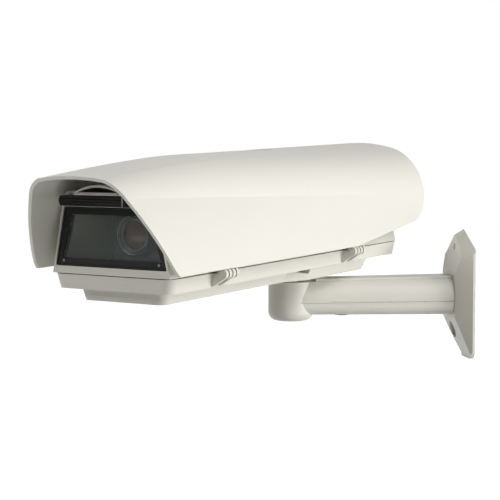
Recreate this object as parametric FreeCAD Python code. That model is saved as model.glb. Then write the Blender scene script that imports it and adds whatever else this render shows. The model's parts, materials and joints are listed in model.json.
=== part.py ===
import FreeCAD, Part
import math
import os
from FreeCAD import Placement, Rotation, Vector

# Outdoor camera housing on a swivel wall bracket, in millimetres.
# Row frame: origin on the wall plate's back face, midway between its holes; +X into the wall, +Z up.
# The bracket is drawn from the arm's centreline, then moved down onto that origin.
# Housing frame: x runs rearward from the window, y to the far side, z up from the closing seam.

# Bracket
ARM_REACH = 186.0
ARM_HALF_WIDTH_BOSS = 22.0
ARM_HALF_WIDTH_WALL = 22.5
ARM_TOP_HALF_WIDTH = 15.2
ARM_TOP_BOSS = 15.6
ARM_TOP_WALL = 17.4
ARM_BOTTOM_BOSS = -18.4
ARM_BOTTOM_WALL = -20.9
ARM_PARTING_HEIGHT = -5.0
ARM_PARTING_STEP = 0.4
ARM_BOTTOM_CORNER = 11.0
ARM_BOTTOM_DRAFT = 1.6
CHANNEL_HALF_WIDTH = 9.5
CHANNEL_FLOOR = -14.0
CHANNEL_OUTLET_HEIGHT = 24.0
CHANNEL_START = 42.0
CHANNEL_END = 34.0
COVER_STRIP_HALF_WIDTH = 14.0
COVER_STRIP_THICKNESS = 3.0
COVER_STRIP_END_GAP = 0.5
GROMMET_STATION = 54.0
GROMMET_HOLE_RADIUS = 5.4
GROMMET_BORE_RADIUS = 3.2
GROMMET_RIM_RADIUS = 7.2
GROMMET_RIM_THICKNESS = 1.6
GROMMET_SEAT_DEPTH = 0.4
COVER_SCREW_HOLE_RADIUS = 1.5
COVER_SCREW_HEAD_RADIUS = 3.4
COVER_SCREW_DEPTH = 7.0

PLATE_HALF_WIDTH = 43.6
PLATE_APEX = 68.6
PLATE_SHOULDER = 49.0
PLATE_FRONT_APEX = 59.5
PLATE_FRONT_SHOULDER = 21.0
PLATE_BOTTOM = -65.0
PLATE_DEPTH = 15.5
PLATE_TOP_DEPTH = 9.9
PLATE_FOOT_DEPTH = 3.5
PLATE_STEP_HEIGHT = 45.0
PLATE_LAND_TOP = 24.0
PLATE_LAND_BOTTOM = -24.0
PLATE_RIM_DEPTH = 2.5
PLATE_SIDE_SLOPE = 19.5
PLATE_WALL = 4.0
WALL_HOLE_RADIUS = 3.5
WALL_HOLE_TOP = 50.0
WALL_HOLE_BOTTOM = -38.0
HOLE_BOSS_RADIUS = 9.0
WELL_RADIUS = 8.5
WELL_FLOOR = 5.0

# Swivel head
BOSS_RADIUS = 23.35
BOSS_BOTTOM = -25.0
BOSS_TOP = 10.0
BOSS_ROUND = 9.0
BALL_HEIGHT = 3.0
BALL_RADIUS = 10.0
BALL_CLEARANCE = 0.3
SEAT_WALL = 7.0
SEAT_CLEARANCE = 0.3
SEAT_FLOOR = 6.0
SEAT_TOP_GAP = 0.3
TRUNNION_RADIUS = 3.0
TRUNNION_CLEARANCE = 0.05
TRUNNION_REACH = 2.4
RING_THICKNESS = 6.0
RING_GAP = 0.3
RING_SPIGOT = 1.8
RING_MOUTH_GAP = 3.2
RING_MOUTH_RADIUS = BALL_RADIUS + RING_MOUTH_GAP
RING_MOUTH_FLARE = 1.4
RING_SCREW_RADIUS = 1.25
RING_SCREW_HEAD = 2.1
RING_SCREW_SEAT = 2.2
NECK_RADIUS = 7.0
FLANGE_RADIUS = 24.0
FLANGE_THICKNESS = 4.0
FLANGE_TOP = 23.0
FLANGE_BOLT_CIRCLE = 17.0
RING_BOLT_CIRCLE = 20.2
PAN_AT_REST = 46.4
NOSE_DOWN = 1.9

# Housing body
BODY_LENGTH = 400.0
BODY_HALF_WIDTH = 67.0
BODY_CORNER = 9.0
TRAY_DEPTH = 13.2
TRAY_DRAFT = 2.3
WALL = 3.0
SEAM_GAP = 0.8
RIM_WIDTH = 6.0
GROOVE_DEPTH = 1.6
GROOVE_INSET = 1.6
GROOVE_WIDTH = 2.4
PEDESTAL_BOTTOM = -25.0
PEDESTAL_FRONT = 13.0
PEDESTAL_SETBACK = 52.0
PEDESTAL_REAR = BODY_LENGTH - PEDESTAL_SETBACK
PEDESTAL_SHELF = 17.5
PEDESTAL_HALF_WIDTH = BODY_HALF_WIDTH - PEDESTAL_SHELF
PEDESTAL_DRAFT = 3.0
PEDESTAL_CORNER = 8.0
PAD_LENGTH = 139.0
PAD_REAR = PEDESTAL_REAR - 2 * PEDESTAL_DRAFT
PAD_FRONT = PAD_REAR - PAD_LENGTH
PAD_INSET = 2.4
PAD_HALF_WIDTH = BODY_HALF_WIDTH - PAD_INSET
PAD_DRAFT = 7.0
PAD_RAMP = 28.0
SCOOP_HEIGHT = 5.2
SWIVEL_SETBACK = 109.0
SWIVEL_STATION = BODY_LENGTH - SWIVEL_SETBACK
RAIL_OFFSET = 26.0
RAIL_WIDTH = 4.0
RAIL_TOP = 3.0
RAIL_START = 44.0
RAIL_END = SWIVEL_STATION - 5.0
BODY_END_GAP = 1.0

# Cover and window
COVER_LEAN_TOP = 60.0
COVER_LEAN_IN = 13.2
COVER_LEAN_HALF_WIDTH = BODY_HALF_WIDTH - COVER_LEAN_IN
COVER_SHOULDER = 75.0
COVER_SHOULDER_IN = 21.0
COVER_SHOULDER_HALF_WIDTH = BODY_HALF_WIDTH - COVER_SHOULDER_IN
COVER_SHOULDER_BULGE = 0.13
HUMP_HALF_WIDTH = 27.0
HUMP_TOP = 81.5
HUMP_OVERHANG = 14.0
HUMP_WALL = 1.8
HOOD_RECESS = 6.0
FRONT_WALL = 4.0
REAR_ROUND = 7.0
WINDOW_BOTTOM = 7.5
WINDOW_TOP = 61.2
WINDOW_SIDE_LOW = 3.5
WINDOW_SIDE_HIGH = 2.3
WINDOW_HALF_BOTTOM = BODY_HALF_WIDTH - WINDOW_SIDE_LOW
WINDOW_HALF_TOP = COVER_LEAN_HALF_WIDTH - WINDOW_SIDE_HIGH
WINDOW_CORNER = 1.6
WINDOW_LIP = 1.5
WINDOW_REBATE = 0.7
SEAL_BAND = 7.0
SEAL_DEPTH = 4.6
GLASS_THICKNESS = 3.0
GLASS_GRIP = 0.8
FRAME_THICKNESS = 2.0
FRAME_SCREW_RISE = 6.2
FRAME_SCREW_OFFSET = 38.0
FRAME_TAB_HALF_WIDTH = 6.0
FRAME_TAB_REACH = 3.4
BAR_BOTTOM = 62.8
BAR_TOP = 72.0
BAR_OVERHANG = 1.0
BAR_HALF_LENGTH = COVER_SHOULDER_HALF_WIDTH + BAR_OVERHANG
BAR_DEPTH = 12.5
BAR_RIBS = 4
BAR_RIB_RADIUS = 0.9
BAR_SPLIT = 26.0
STRIP_THICKNESS = 1.6
CLIP_WIDTH = 1.8
CLIP_THICKNESS = 0.8

# Sunshield
SHIELD_WALL = 3.0
SHIELD_FRONT = -54.0
SHIELD_REAR_OVERHANG = 33.0
SHIELD_REAR = BODY_LENGTH + SHIELD_REAR_OVERHANG
SHIELD_BOTTOM = 4.4
SHIELD_SKIRT_GAP = 15.2
SHIELD_HALF_WIDTH = BODY_HALF_WIDTH + SHIELD_SKIRT_GAP
SHIELD_FRONT_CORNERS = ((-1.3, -1.0), (9.8, 37.3), (27.7, 73.0), (33.7, 81.0), (46.2, 88.6))
SHIELD_REAR_CORNERS = ((0.0, -1.0), (-0.2, 24.0), (0.4, 49.0), (10.2, 76.8), (36.2, 97.2))
SHIELD_FALL_SHARES = (0.0, 0.0, 0.0, 0.45, 0.85)
SHIELD_WALL_SHARES = ((1.0, 1.0), (1.0, 0.3), (1.0, 0.5), (0.8, 0.7), (0.4, 1.0))
SHIELD_CROWN = 103.6
SHIELD_DROP_FACTOR = 0.0036
SHIELD_DROP_POWER = 1.6
SHIELD_DROP_START = 110.0
SHIELD_CUT_LOW = -5.5
SHIELD_CUT_BEND = -10.0
SHIELD_CUT_BEND_HEIGHT = 10.0
SHIELD_CUT_RAKE = -0.5
SHIELD_TAIL_START = SWIVEL_STATION + 1.0
SHIELD_TAIL_END = SHIELD_REAR - 25.0
SHIELD_TAIL_HEIGHT = 20.5
SHIELD_TAIL_ROUND_HEIGHT = 50.0
SHIELD_BROW_STATIONS = 9
SHIELD_OVERRUN = 2.0
RECESS_FRONT = 122.0
RECESS_LENGTH = 124.0
RECESS_REAR = RECESS_FRONT + RECESS_LENGTH
RECESS_HALF_WIDTH = 13.0
RECESS_DEPTH = 1.0
SPACER_RADIUS = 6.0
SPACER_INSET = 14.0
SPACER_STATIONS = (RECESS_FRONT + SPACER_INSET, RECESS_REAR - SPACER_INSET)
SPACER_FOOT_WIDTH = 3.0
SPACER_FOOT_THICKNESS = 2.0
SPACER_BORE = 2.0
SHIELD_SCREW_RADIUS = 1.5
SHIELD_SCREW_HEAD = 3.9
SHIELD_SCREW_SINK = 1.9
SHIELD_SCREW_HOLE = 1.6

# Hinges and closing screws
HINGE_STAND_OFF = 10.3
HINGE_OFFSET = BODY_HALF_WIDTH + HINGE_STAND_OFF
HINGE_HEIGHT = -0.5
EAR_RADIUS = 4.7
EAR_THICKNESS = 3.5
EAR_GAP = 2.1
EAR_WEB_ANGLE = -50.0
EAR_ROOT_HEIGHT = 13.0
EAR_ROOT = 1.5
EAR_COUNT = 4
HINGE_STATIONS = (62.0, BODY_LENGTH - 114.0)
PIN_RADIUS = 1.5
PIN_CLEARANCE = 0.05
LUG_STATIONS = (74.0, BODY_LENGTH / 2 - 2.0, BODY_LENGTH - 78.0)
LUG_RADIUS = 6.0
LUG_STAND_OFF = 4.0
LUG_OFFSET = BODY_HALF_WIDTH + LUG_STAND_OFF
LUG_HEIGHT = 9.0
CLOSING_SCREW_RADIUS = 2.1
CLOSING_SCREW_FIT = 0.2
CLOSING_HEAD_RADIUS = 4.2
CLOSING_HEAD_HEIGHT = 5.0

# Cable glands
GLAND_SETBACK = 29.0
GLAND_STATION = BODY_LENGTH - GLAND_SETBACK
GLAND_OFFSETS = (-3.0, 22.0, 47.0)
GLAND_RADIUS = 8.0
GLAND_BORE = 4.5
GLAND_SEAL_WALL = 1.4
GLAND_THREAD_OUTSIDE = 8.0
GLAND_THREAD_INSIDE = 10.0
GLAND_COLLAR_RADIUS = 11.5
GLAND_COLLAR_HEIGHT = 4.0
GLAND_NUT_RADIUS = 11.0
GLAND_NUT_HEIGHT = 5.0
GLAND_NUT_GAP = 0.2
GLAND_DOME_RADIUS = 10.0
GLAND_DOME_HEIGHT = 5.0
GLAND_DOME_MOUTH = 7.0
LOCK_NUT_HEIGHT = 3.0

# Terminal board
BOARD_HEIGHT = -4.0
BOARD_THICKNESS = 1.6
BOARD_FRONT = SWIVEL_STATION + 5.0
BOARD_LENGTH = 54.0
BOARD_REAR = BOARD_FRONT + BOARD_LENGTH
BOARD_SIDE_GAP = 5.0
BOARD_HALF_WIDTH = BODY_HALF_WIDTH - RIM_WIDTH - BOARD_SIDE_GAP
BOARD_EDGE = 5.0
BOARD_POST_RADIUS = 3.0
BOARD_SCREW_RADIUS = 1.05

# Camera, lens and slide
LENS_HEIGHT = 34.0
LENS_FRONT = 33.0
LENS_RING_RADIUS = 18.3
LENS_RING_LENGTH = 9.0
LENS_BOX_FRONT = 40.0
LENS_BOX_LENGTH = 62.0
LENS_BOX_HALF_WIDTH = 30.0
LENS_BOX_HALF_HEIGHT = 23.6
LENS_BOX_CORNER = 7.0
LENS_GLASS_RADIUS = 12.9
CAMERA_LENGTH = 96.0
CAMERA_HALF_WIDTH = 29.0
CAMERA_HALF_HEIGHT = 24.0
CAMERA_CORNER = 3.0
SLIDE_START = 30.0
SLIDE_END = 262.0
SLIDE_HALF_WIDTH = 34.0
SLIDE_THICKNESS = 3.0
RUNNING_GAP = 0.3
FIT_GAP = 0.1


def box(x0, x1, y0, y1, z0, z1):
    return Part.makeBox(x1 - x0, y1 - y0, z1 - z0, Vector(x0, y0, z0))


def rod(radius, length, base, direction=Vector(0, 0, 1)):
    return Part.makeCylinder(radius, length, base, direction)


def corner_arc(before, corner, after, radius):
    """Tangent arc that rounds one corner, as its first, middle and last points."""
    inward = (before - corner).normalize()
    outward = (after - corner).normalize()
    half = inward.getAngle(outward) / 2
    setback = radius / math.tan(half)
    bisector = (inward + outward).normalize()
    centre = corner + bisector * (radius / math.sin(half))
    return corner + inward * setback, centre - bisector * radius, corner + outward * setback


def outline(corners):
    """Closed wire through (point, radius) corners; a radius of zero leaves the corner sharp."""
    points = [point for point, _ in corners]
    count = len(points)
    arcs = []
    for i, (point, radius) in enumerate(corners):
        if radius > 0:
            arcs.append(corner_arc(points[i - 1], point, points[(i + 1) % count], radius))
        else:
            arcs.append((point, point, point))
    edges = []
    for i, (first, middle, last) in enumerate(arcs):
        if (last - first).Length > 1e-6:
            edges.append(Part.Arc(first, middle, last).toShape())
        following = arcs[(i + 1) % count][0]
        if (following - last).Length > 1e-6:
            edges.append(Part.LineSegment(last, following).toShape())
    return Part.Wire(edges)


def prism(corners, sweep):
    return Part.Face(outline(corners)).extrude(sweep)


def plan(x0, x1, half_width, z, radius):
    """Rounded rectangle in a level plane, symmetric about the housing's middle."""
    return outline([(Vector(x0, -half_width, z), radius), (Vector(x1, -half_width, z), radius),
                    (Vector(x1, half_width, z), radius), (Vector(x0, half_width, z), radius)])


def across(x, half_width, z0, z1, low_radius, high_radius):
    """Rounded rectangle in a plane across the X axis."""
    return outline([(Vector(x, -half_width, z0), low_radius), (Vector(x, half_width, z0), low_radius),
                    (Vector(x, half_width, z1), high_radius), (Vector(x, -half_width, z1), high_radius)])


def loft(wires, ruled=True):
    return Part.makeLoft(wires, True, ruled)


def fused(first, *others):
    return first.fuse(list(others)).removeSplitter()


def pan_head(radius, height, shank_radius, shank_length):
    """Screw with its head's underside at the origin, shank pointing down, cross slot on top."""
    head = Part.makeCylinder(radius, height)
    top = [edge for edge in head.Edges if edge.BoundBox.ZMin > height / 2]
    head = head.makeFillet(height * 0.45, top)
    slot = box(-radius * 0.55, radius * 0.55, -radius * 0.12, radius * 0.12, height * 0.5, height * 2)
    cross = slot.fuse(slot.rotated(Vector(0, 0, 0), Vector(0, 0, 1), 90))
    shank = rod(shank_radius, shank_length, Vector(0, 0, -shank_length))
    return head.cut(cross).fuse(shank)


def moved(shape, position, direction=Vector(0, 0, 1)):
    result = shape.copy()
    result.Placement = Placement(position, Rotation(Vector(0, 0, 1), direction))
    return result


def hexagon(radius, length, base, direction=Vector(0, 0, 1)):
    points = [(Vector(radius * math.cos(math.radians(60 * i)), radius * math.sin(math.radians(60 * i)), 0), 0)
              for i in range(6)]
    return moved(prism(points, Vector(0, 0, length)), base, direction)


def in_row(shape):
    """Places a shape of the housing frame on the swivel, at its rest pan and tilt."""
    turn = Rotation(Vector(0, 0, 1), PAN_AT_REST)
    dip = Rotation(Vector(0, 1, 0), -NOSE_DOWN)
    pose = turn.multiply(dip)
    ball = Vector(SWIVEL_STATION, 0, PEDESTAL_BOTTOM - FLANGE_TOP)
    result = shape.copy()
    result.Placement = Placement(Vector(-ARM_REACH, 0, BALL_HEIGHT) - pose.multVec(ball), pose)
    return on_holes(result)


def on_holes(shape):
    """Moves a shape down so that the origin is midway between the wall holes."""
    return shape.translated(Vector(0, 0, -(WALL_HOLE_TOP + WALL_HOLE_BOTTOM) / 2))


# Wall bracket

def arm_height(x, at_boss, at_wall):
    return at_wall + (at_boss - at_wall) * (-x / ARM_REACH)


def arm_half_width(x):
    return arm_height(x, ARM_HALF_WIDTH_BOSS, ARM_HALF_WIDTH_WALL)


def arm_bottom(x):
    return arm_height(x, ARM_BOTTOM_BOSS, ARM_BOTTOM_WALL)


def arm_top(x):
    return arm_height(x, ARM_TOP_BOSS, ARM_TOP_WALL)


def arm_side_arc(x, side):
    """Upper flank of the arm, from its top edge down to the upright tangent at the parting line."""
    run = arm_half_width(x) - ARM_TOP_HALF_WIDTH
    rise = arm_top(x) - ARM_PARTING_HEIGHT
    radius = (run ** 2 + rise ** 2) / (2 * run)
    half = math.asin(rise / radius) / 2
    centre = arm_half_width(x) - radius

    def at(angle):
        return Vector(x, side * (centre + radius * math.cos(angle)),
                      ARM_PARTING_HEIGHT + radius * math.sin(angle))

    return [at(2 * half), at(half), at(0)]


def arm_section(x):
    """Arm's section: flat top, bowed upper flanks, a parting step and a drafted, rounded underside."""
    near, far = arm_side_arc(x, -1), arm_side_arc(x, 1)
    under = arm_half_width(x) - ARM_PARTING_STEP
    foot = under - ARM_BOTTOM_DRAFT
    low = arm_bottom(x)
    step = [Vector(x, under, ARM_PARTING_HEIGHT), Vector(x, -under, ARM_PARTING_HEIGHT)]
    rounds = [corner_arc(step[0], Vector(x, foot, low), Vector(x, 0, low), ARM_BOTTOM_CORNER),
              corner_arc(Vector(x, 0, low), Vector(x, -foot, low), step[1], ARM_BOTTOM_CORNER)]
    edges = [Part.LineSegment(near[0], far[0]).toShape(), Part.Arc(*far).toShape(),
             Part.LineSegment(far[2], step[0]).toShape(),
             Part.LineSegment(step[0], rounds[0][0]).toShape(), Part.Arc(*rounds[0]).toShape(),
             Part.LineSegment(rounds[0][2], rounds[1][0]).toShape(), Part.Arc(*rounds[1]).toShape(),
             Part.LineSegment(rounds[1][2], step[1]).toShape(),
             Part.LineSegment(step[1], near[2]).toShape(), Part.Arc(near[2], near[1], near[0]).toShape()]
    return Part.Wire(edges)


def plate_outline(inset):
    """Plate's outline from the wall to its front, its roof leaning back towards the wall."""
    side = PLATE_HALF_WIDTH - inset
    low = PLATE_BOTTOM + inset
    wires = []
    for x, apex, shoulder in ((0, PLATE_APEX, PLATE_SHOULDER), (-PLATE_DEPTH - 1, PLATE_FRONT_APEX,
                                                                PLATE_FRONT_SHOULDER)):
        wires.append(outline([(Vector(x, 0, apex - inset), 4), (Vector(x, side, shoulder - inset), 6),
                              (Vector(x, side, low), 10), (Vector(x, -side, low), 10),
                              (Vector(x, -side, shoulder - inset), 6)]))
    return loft(wires)


def plate_camber(inset):
    """Side profile of the plate's front: upright at the top, a land behind the arm, sloping to the foot."""
    y = -PLATE_HALF_WIDTH
    front = [(PLATE_TOP_DEPTH, PLATE_APEX + 1), (PLATE_TOP_DEPTH, PLATE_STEP_HEIGHT),
             (PLATE_DEPTH, PLATE_LAND_TOP), (PLATE_DEPTH, PLATE_LAND_BOTTOM),
             (PLATE_FOOT_DEPTH, PLATE_BOTTOM + 3), (PLATE_FOOT_DEPTH, PLATE_BOTTOM - 1)]
    corners = [(Vector(inset - depth, y, z), 0) for depth, z in front]
    corners += [(Vector(0, y, PLATE_BOTTOM - 1), 0), (Vector(0, y, PLATE_APEX + 1), 0)]
    return prism(corners, Vector(0, 2 * PLATE_HALF_WIDTH, 0))


def plate_flanks(inset):
    """Plan of the plate: a thin rim at the wall and two sloping flanks up to the front."""
    side = PLATE_HALF_WIDTH - inset
    rim = inset - PLATE_RIM_DEPTH
    front = side - PLATE_SIDE_SLOPE
    low = PLATE_BOTTOM - 1
    return prism([(Vector(0, -side, low), 0), (Vector(min(rim, -0.1), -side, low), 0),
                  (Vector(-PLATE_DEPTH, -front, low), 0), (Vector(-PLATE_DEPTH, front, low), 0),
                  (Vector(min(rim, -0.1), side, low), 0), (Vector(0, side, low), 0)],
                 Vector(0, 0, PLATE_APEX - PLATE_BOTTOM + 2))


def plate_far_facet():
    """Wedge that cuts the plate's lower far corner."""
    edge = [Vector(-15.5, 6, -31), Vector(0, 46, -46), Vector(0, 2, -65)]
    normal = (edge[1] - edge[0]).cross(edge[2] - edge[0]).normalize()
    if normal.x > 0:
        normal = -normal
    slab = Part.makeBox(200, 200, 60, Vector(-100, -100, 0))
    slab.Placement = Placement(edge[2], Rotation(Vector(0, 0, 1), normal))
    return slab.common(Part.makeBox(60, 100, 80, Vector(-50, -8, -100)))


def plate_form(inset):
    return plate_outline(inset).common(plate_camber(inset)).common(plate_flanks(inset))


def wall_plate():
    body = plate_form(0).cut(plate_far_facet())
    hollow = plate_form(PLATE_WALL)
    for z in (WALL_HOLE_TOP, WALL_HOLE_BOTTOM):
        hollow = hollow.cut(rod(HOLE_BOSS_RADIUS + PLATE_WALL, PLATE_DEPTH, Vector(0, 0, z), Vector(-1, 0, 0)))
    arm_core = CHANNEL_HALF_WIDTH + PLATE_WALL
    hollow = hollow.cut(box(-PLATE_DEPTH, 0, -arm_core, arm_core, ARM_BOTTOM_WALL, ARM_TOP_WALL))
    hollow = hollow.cut(box(-PLATE_DEPTH, 0, 0, PLATE_HALF_WIDTH, PLATE_BOTTOM, ARM_BOTTOM_WALL))
    body = body.cut(hollow)
    body = body.cut(rod(WELL_RADIUS, PLATE_DEPTH, Vector(-WELL_FLOOR, 0, WALL_HOLE_BOTTOM), Vector(-1, 0, 0)))
    for z in (WALL_HOLE_TOP, WALL_HOLE_BOTTOM):
        body = body.cut(rod(WALL_HOLE_RADIUS, PLATE_DEPTH + 1, Vector(0.5, 0, z), Vector(-1, 0, 0)))
    return body


def boss():
    body = rod(BOSS_RADIUS, BOSS_TOP - BOSS_BOTTOM, Vector(-ARM_REACH, 0, BOSS_BOTTOM))
    rim = [edge for edge in body.Edges if edge.BoundBox.ZMax < BOSS_BOTTOM + 1]
    return body.makeFillet(BOSS_ROUND, rim)


def seat_bore():
    radius = BALL_RADIUS + BALL_CLEARANCE + SEAT_WALL + SEAT_CLEARANCE
    floor = BALL_HEIGHT - BALL_RADIUS - BALL_CLEARANCE - SEAT_FLOOR
    return rod(radius, 60, Vector(-ARM_REACH, 0, floor))


def channel_solid():
    inner = box(-ARM_REACH + CHANNEL_START, -CHANNEL_END, -CHANNEL_HALF_WIDTH, CHANNEL_HALF_WIDTH,
                CHANNEL_FLOOR, ARM_TOP_WALL + 10)
    outlet = box(-CHANNEL_END - 1, 1, -CHANNEL_HALF_WIDTH, CHANNEL_HALF_WIDTH, CHANNEL_FLOOR,
                 CHANNEL_FLOOR + CHANNEL_OUTLET_HEIGHT)
    return inner.fuse(outlet)


def cover_screw_places():
    ends = (-ARM_REACH + CHANNEL_START - 7, -CHANNEL_END + 6.5)
    return [Vector(x, 0, arm_top(x)) for x in ends]


def ring_screw_places(height):
    return [Vector(-ARM_REACH + RING_BOLT_CIRCLE * math.cos(math.radians(angle)),
                   RING_BOLT_CIRCLE * math.sin(math.radians(angle)), height) for angle in (45, 135, 225, 315)]


def wall_bracket():
    arm = loft([arm_section(-ARM_REACH + 8), arm_section(-PLATE_DEPTH + 3)])
    body = fused(boss(), arm, wall_plate())
    body = body.cut(seat_bore())
    body = body.cut(rod(BOSS_RADIUS + RING_GAP, ARM_TOP_WALL, Vector(-ARM_REACH, 0, BOSS_TOP)))
    body = body.cut(channel_solid())
    seat = grommet_place()
    body = body.cut(rod(GROMMET_HOLE_RADIUS + FIT_GAP, CHANNEL_FLOOR - seat.z + 1, seat))
    body = body.cut(rod(GROMMET_RIM_RADIUS + FIT_GAP, PLATE_DEPTH, seat - Vector(0, 0, PLATE_DEPTH)))
    for place in cover_screw_places():
        body = body.cut(rod(COVER_SCREW_HOLE_RADIUS, COVER_SCREW_DEPTH + 2, place - Vector(0, 0, COVER_SCREW_DEPTH + 1)))
    for place in ring_screw_places(BOSS_TOP):
        body = body.cut(rod(RING_SCREW_RADIUS, 9, place - Vector(0, 0, 8.5)))
    return body


def channel_cover():
    x0 = -ARM_REACH + BOSS_RADIUS + COVER_STRIP_END_GAP
    x1 = -PLATE_DEPTH - COVER_STRIP_END_GAP
    sections = []
    for x in (x0, x1):
        low = arm_top(x)
        sections.append(across(x, COVER_STRIP_HALF_WIDTH, low, low + COVER_STRIP_THICKNESS, 0, 1.2))
    body = loft(sections)
    for place in cover_screw_places():
        body = body.cut(rod(1.7, 20, place - Vector(0, 0, 5)))
        body = body.cut(Part.makeCone(1.7, 3.6, 1.9, place + Vector(0, 0, 1.2)))
    return body


def grommet_place():
    """Centre of the level spot face that the grommet's rim seats on, under the arm."""
    x = -ARM_REACH + GROMMET_STATION
    return Vector(x, 0, arm_bottom(x) + GROMMET_SEAT_DEPTH)


def channel_screws():
    screws = []
    for place in cover_screw_places():
        head = Part.makeCone(1.6, 3.4, 1.8, Vector(0, 0, 1.2))
        slot = box(-2.2, 2.2, -0.4, 0.4, 2.2, 4)
        cross = slot.fuse(slot.rotated(Vector(0, 0, 0), Vector(0, 0, 1), 90))
        shank = rod(1.45, 8.6, Vector(0, 0, -7))
        screws.append(moved(head.fuse(shank).cut(cross), place))
    return Part.makeCompound(screws)


def cable_grommet():
    """Rubber bush in the channel's floor: a rim outside, a waist in the hole and a lip inside."""
    place = grommet_place()
    waist = CHANNEL_FLOOR - place.z
    inside = Vector(place.x, 0, CHANNEL_FLOOR)
    body = rod(GROMMET_HOLE_RADIUS, waist, place)
    body = body.fuse(rod(GROMMET_RIM_RADIUS, GROMMET_RIM_THICKNESS, place - Vector(0, 0, GROMMET_RIM_THICKNESS)))
    body = body.fuse(Part.makeCone(GROMMET_RIM_RADIUS - 0.6, GROMMET_HOLE_RADIUS - 0.6, 2, inside))
    return body.cut(rod(GROMMET_BORE_RADIUS, 30, place - Vector(0, 0, 10)))


# Swivel head

def clamp_ring():
    base = BOSS_TOP
    body = rod(BOSS_RADIUS, RING_THICKNESS, Vector(-ARM_REACH, 0, base))
    top = [edge for edge in body.Edges if edge.BoundBox.ZMin > base + 1]
    body = body.makeFillet(0.8, top)
    spigot_radius = BALL_RADIUS + BALL_CLEARANCE + SEAT_WALL
    spigot = rod(spigot_radius, RING_SPIGOT, Vector(-ARM_REACH, 0, base - RING_SPIGOT))
    body = body.fuse(spigot)
    body = body.cut(rod(RING_MOUTH_RADIUS, RING_SPIGOT, Vector(-ARM_REACH, 0, base - RING_SPIGOT)))
    flare = Part.makeCone(RING_MOUTH_RADIUS, RING_MOUTH_RADIUS + RING_MOUTH_FLARE, RING_THICKNESS,
                          Vector(-ARM_REACH, 0, base))
    body = body.cut(flare)
    for place in ring_screw_places(base + RING_THICKNESS - RING_SCREW_SEAT):
        body = body.cut(rod(RING_SCREW_HEAD + FIT_GAP, 5, place))
        body = body.cut(rod(RING_SCREW_RADIUS + FIT_GAP, 12, place - Vector(0, 0, 8)))
    return body


def clamp_screws():
    screws = []
    for place in ring_screw_places(BOSS_TOP + RING_THICKNESS - RING_SCREW_SEAT):
        head = rod(RING_SCREW_HEAD, 2.0, Vector(0, 0, 0)).cut(hexagon(1.2, 3, Vector(0, 0, 0.8)))
        screws.append(moved(head.fuse(rod(RING_SCREW_RADIUS - 0.02, 11, Vector(0, 0, -11))), place))
    return Part.makeCompound(screws)


def ball_seat():
    """Nylon cup that turns in the boss; the ball snaps past its equator and its trunnions lie in the slots."""
    centre = Vector(-ARM_REACH, 0, BALL_HEIGHT)
    inner = BALL_RADIUS + BALL_CLEARANCE
    floor = BALL_HEIGHT - inner - SEAT_FLOOR
    top = BOSS_TOP - RING_SPIGOT - SEAT_TOP_GAP
    body = rod(inner + SEAT_WALL, top - floor, Vector(-ARM_REACH, 0, floor))
    body = body.cut(Part.makeSphere(inner, centre))
    slot_radius = TRUNNION_RADIUS + TRUNNION_CLEARANCE
    axis = rod(slot_radius, 80, Vector(0, -40, 0), Vector(0, 1, 0))
    slot = axis.fuse(box(-slot_radius, slot_radius, -40, 40, 0, 30))
    slot.Placement = Placement(centre, Rotation(Vector(0, 0, 1), PAN_AT_REST))
    return body.cut(slot)


def swivel_ball():
    """Ball, neck and flange in the housing frame, one casting."""
    centre = Vector(SWIVEL_STATION, 0, PEDESTAL_BOTTOM - FLANGE_TOP)
    body = Part.makeSphere(BALL_RADIUS, centre)
    reach = BALL_RADIUS + TRUNNION_REACH
    body = body.fuse(rod(TRUNNION_RADIUS, 2 * reach, centre - Vector(0, reach, 0), Vector(0, 1, 0)))
    body = body.fuse(rod(NECK_RADIUS, FLANGE_TOP - 1, centre))
    flange = rod(FLANGE_RADIUS, FLANGE_THICKNESS, centre + Vector(0, 0, FLANGE_TOP - FLANGE_THICKNESS))
    flange = flange.makeChamfer(0.8, [edge for edge in flange.Edges if edge.Length > 10])
    body = body.fuse(flange)
    for place in flange_screw_places(PEDESTAL_BOTTOM):
        body = body.cut(rod(2.2, 20, place - Vector(0, 0, 10)))
    return body


def flange_screw_places(height):
    return [Vector(SWIVEL_STATION + FLANGE_BOLT_CIRCLE * math.cos(math.radians(angle)),
                   FLANGE_BOLT_CIRCLE * math.sin(math.radians(angle)), height) for angle in (0, 90, 180, 270)]


def flange_screws():
    """Cap screws put in from inside the tray; their ends stop flush in the flange."""
    screws = []
    floor = PEDESTAL_BOTTOM + WALL
    for place in flange_screw_places(floor):
        head = rod(3.4, 3.0, Vector(0, 0, 0)).cut(hexagon(1.8, 4, Vector(0, 0, 1.2)))
        screws.append(moved(head.fuse(rod(2.0, WALL + FLANGE_THICKNESS, Vector(0, 0, -WALL - FLANGE_THICKNESS))),
                            place))
    return Part.makeCompound(screws)


# Lower shell

def tray_outer():
    tray = loft([plan(0, BODY_LENGTH, BODY_HALF_WIDTH, 0, BODY_CORNER),
                 plan(TRAY_DRAFT, BODY_LENGTH - TRAY_DRAFT, BODY_HALF_WIDTH - TRAY_DRAFT, -TRAY_DEPTH,
                      BODY_CORNER)])
    top = -TRAY_DEPTH + WALL
    foot_width = PEDESTAL_HALF_WIDTH - PEDESTAL_DRAFT
    pedestal = loft([plan(PEDESTAL_FRONT, PEDESTAL_REAR, PEDESTAL_HALF_WIDTH, top, PEDESTAL_CORNER),
                     plan(PEDESTAL_FRONT + PEDESTAL_DRAFT, PEDESTAL_REAR - PEDESTAL_DRAFT, foot_width,
                          PEDESTAL_BOTTOM, PEDESTAL_CORNER)])
    pad = loft([pad_plan(PAD_REAR, PAD_HALF_WIDTH, top),
                pad_plan(PAD_REAR - PEDESTAL_DRAFT, PAD_HALF_WIDTH - PAD_DRAFT, PEDESTAL_BOTTOM)])
    return fused(tray, pedestal, pad)


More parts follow.
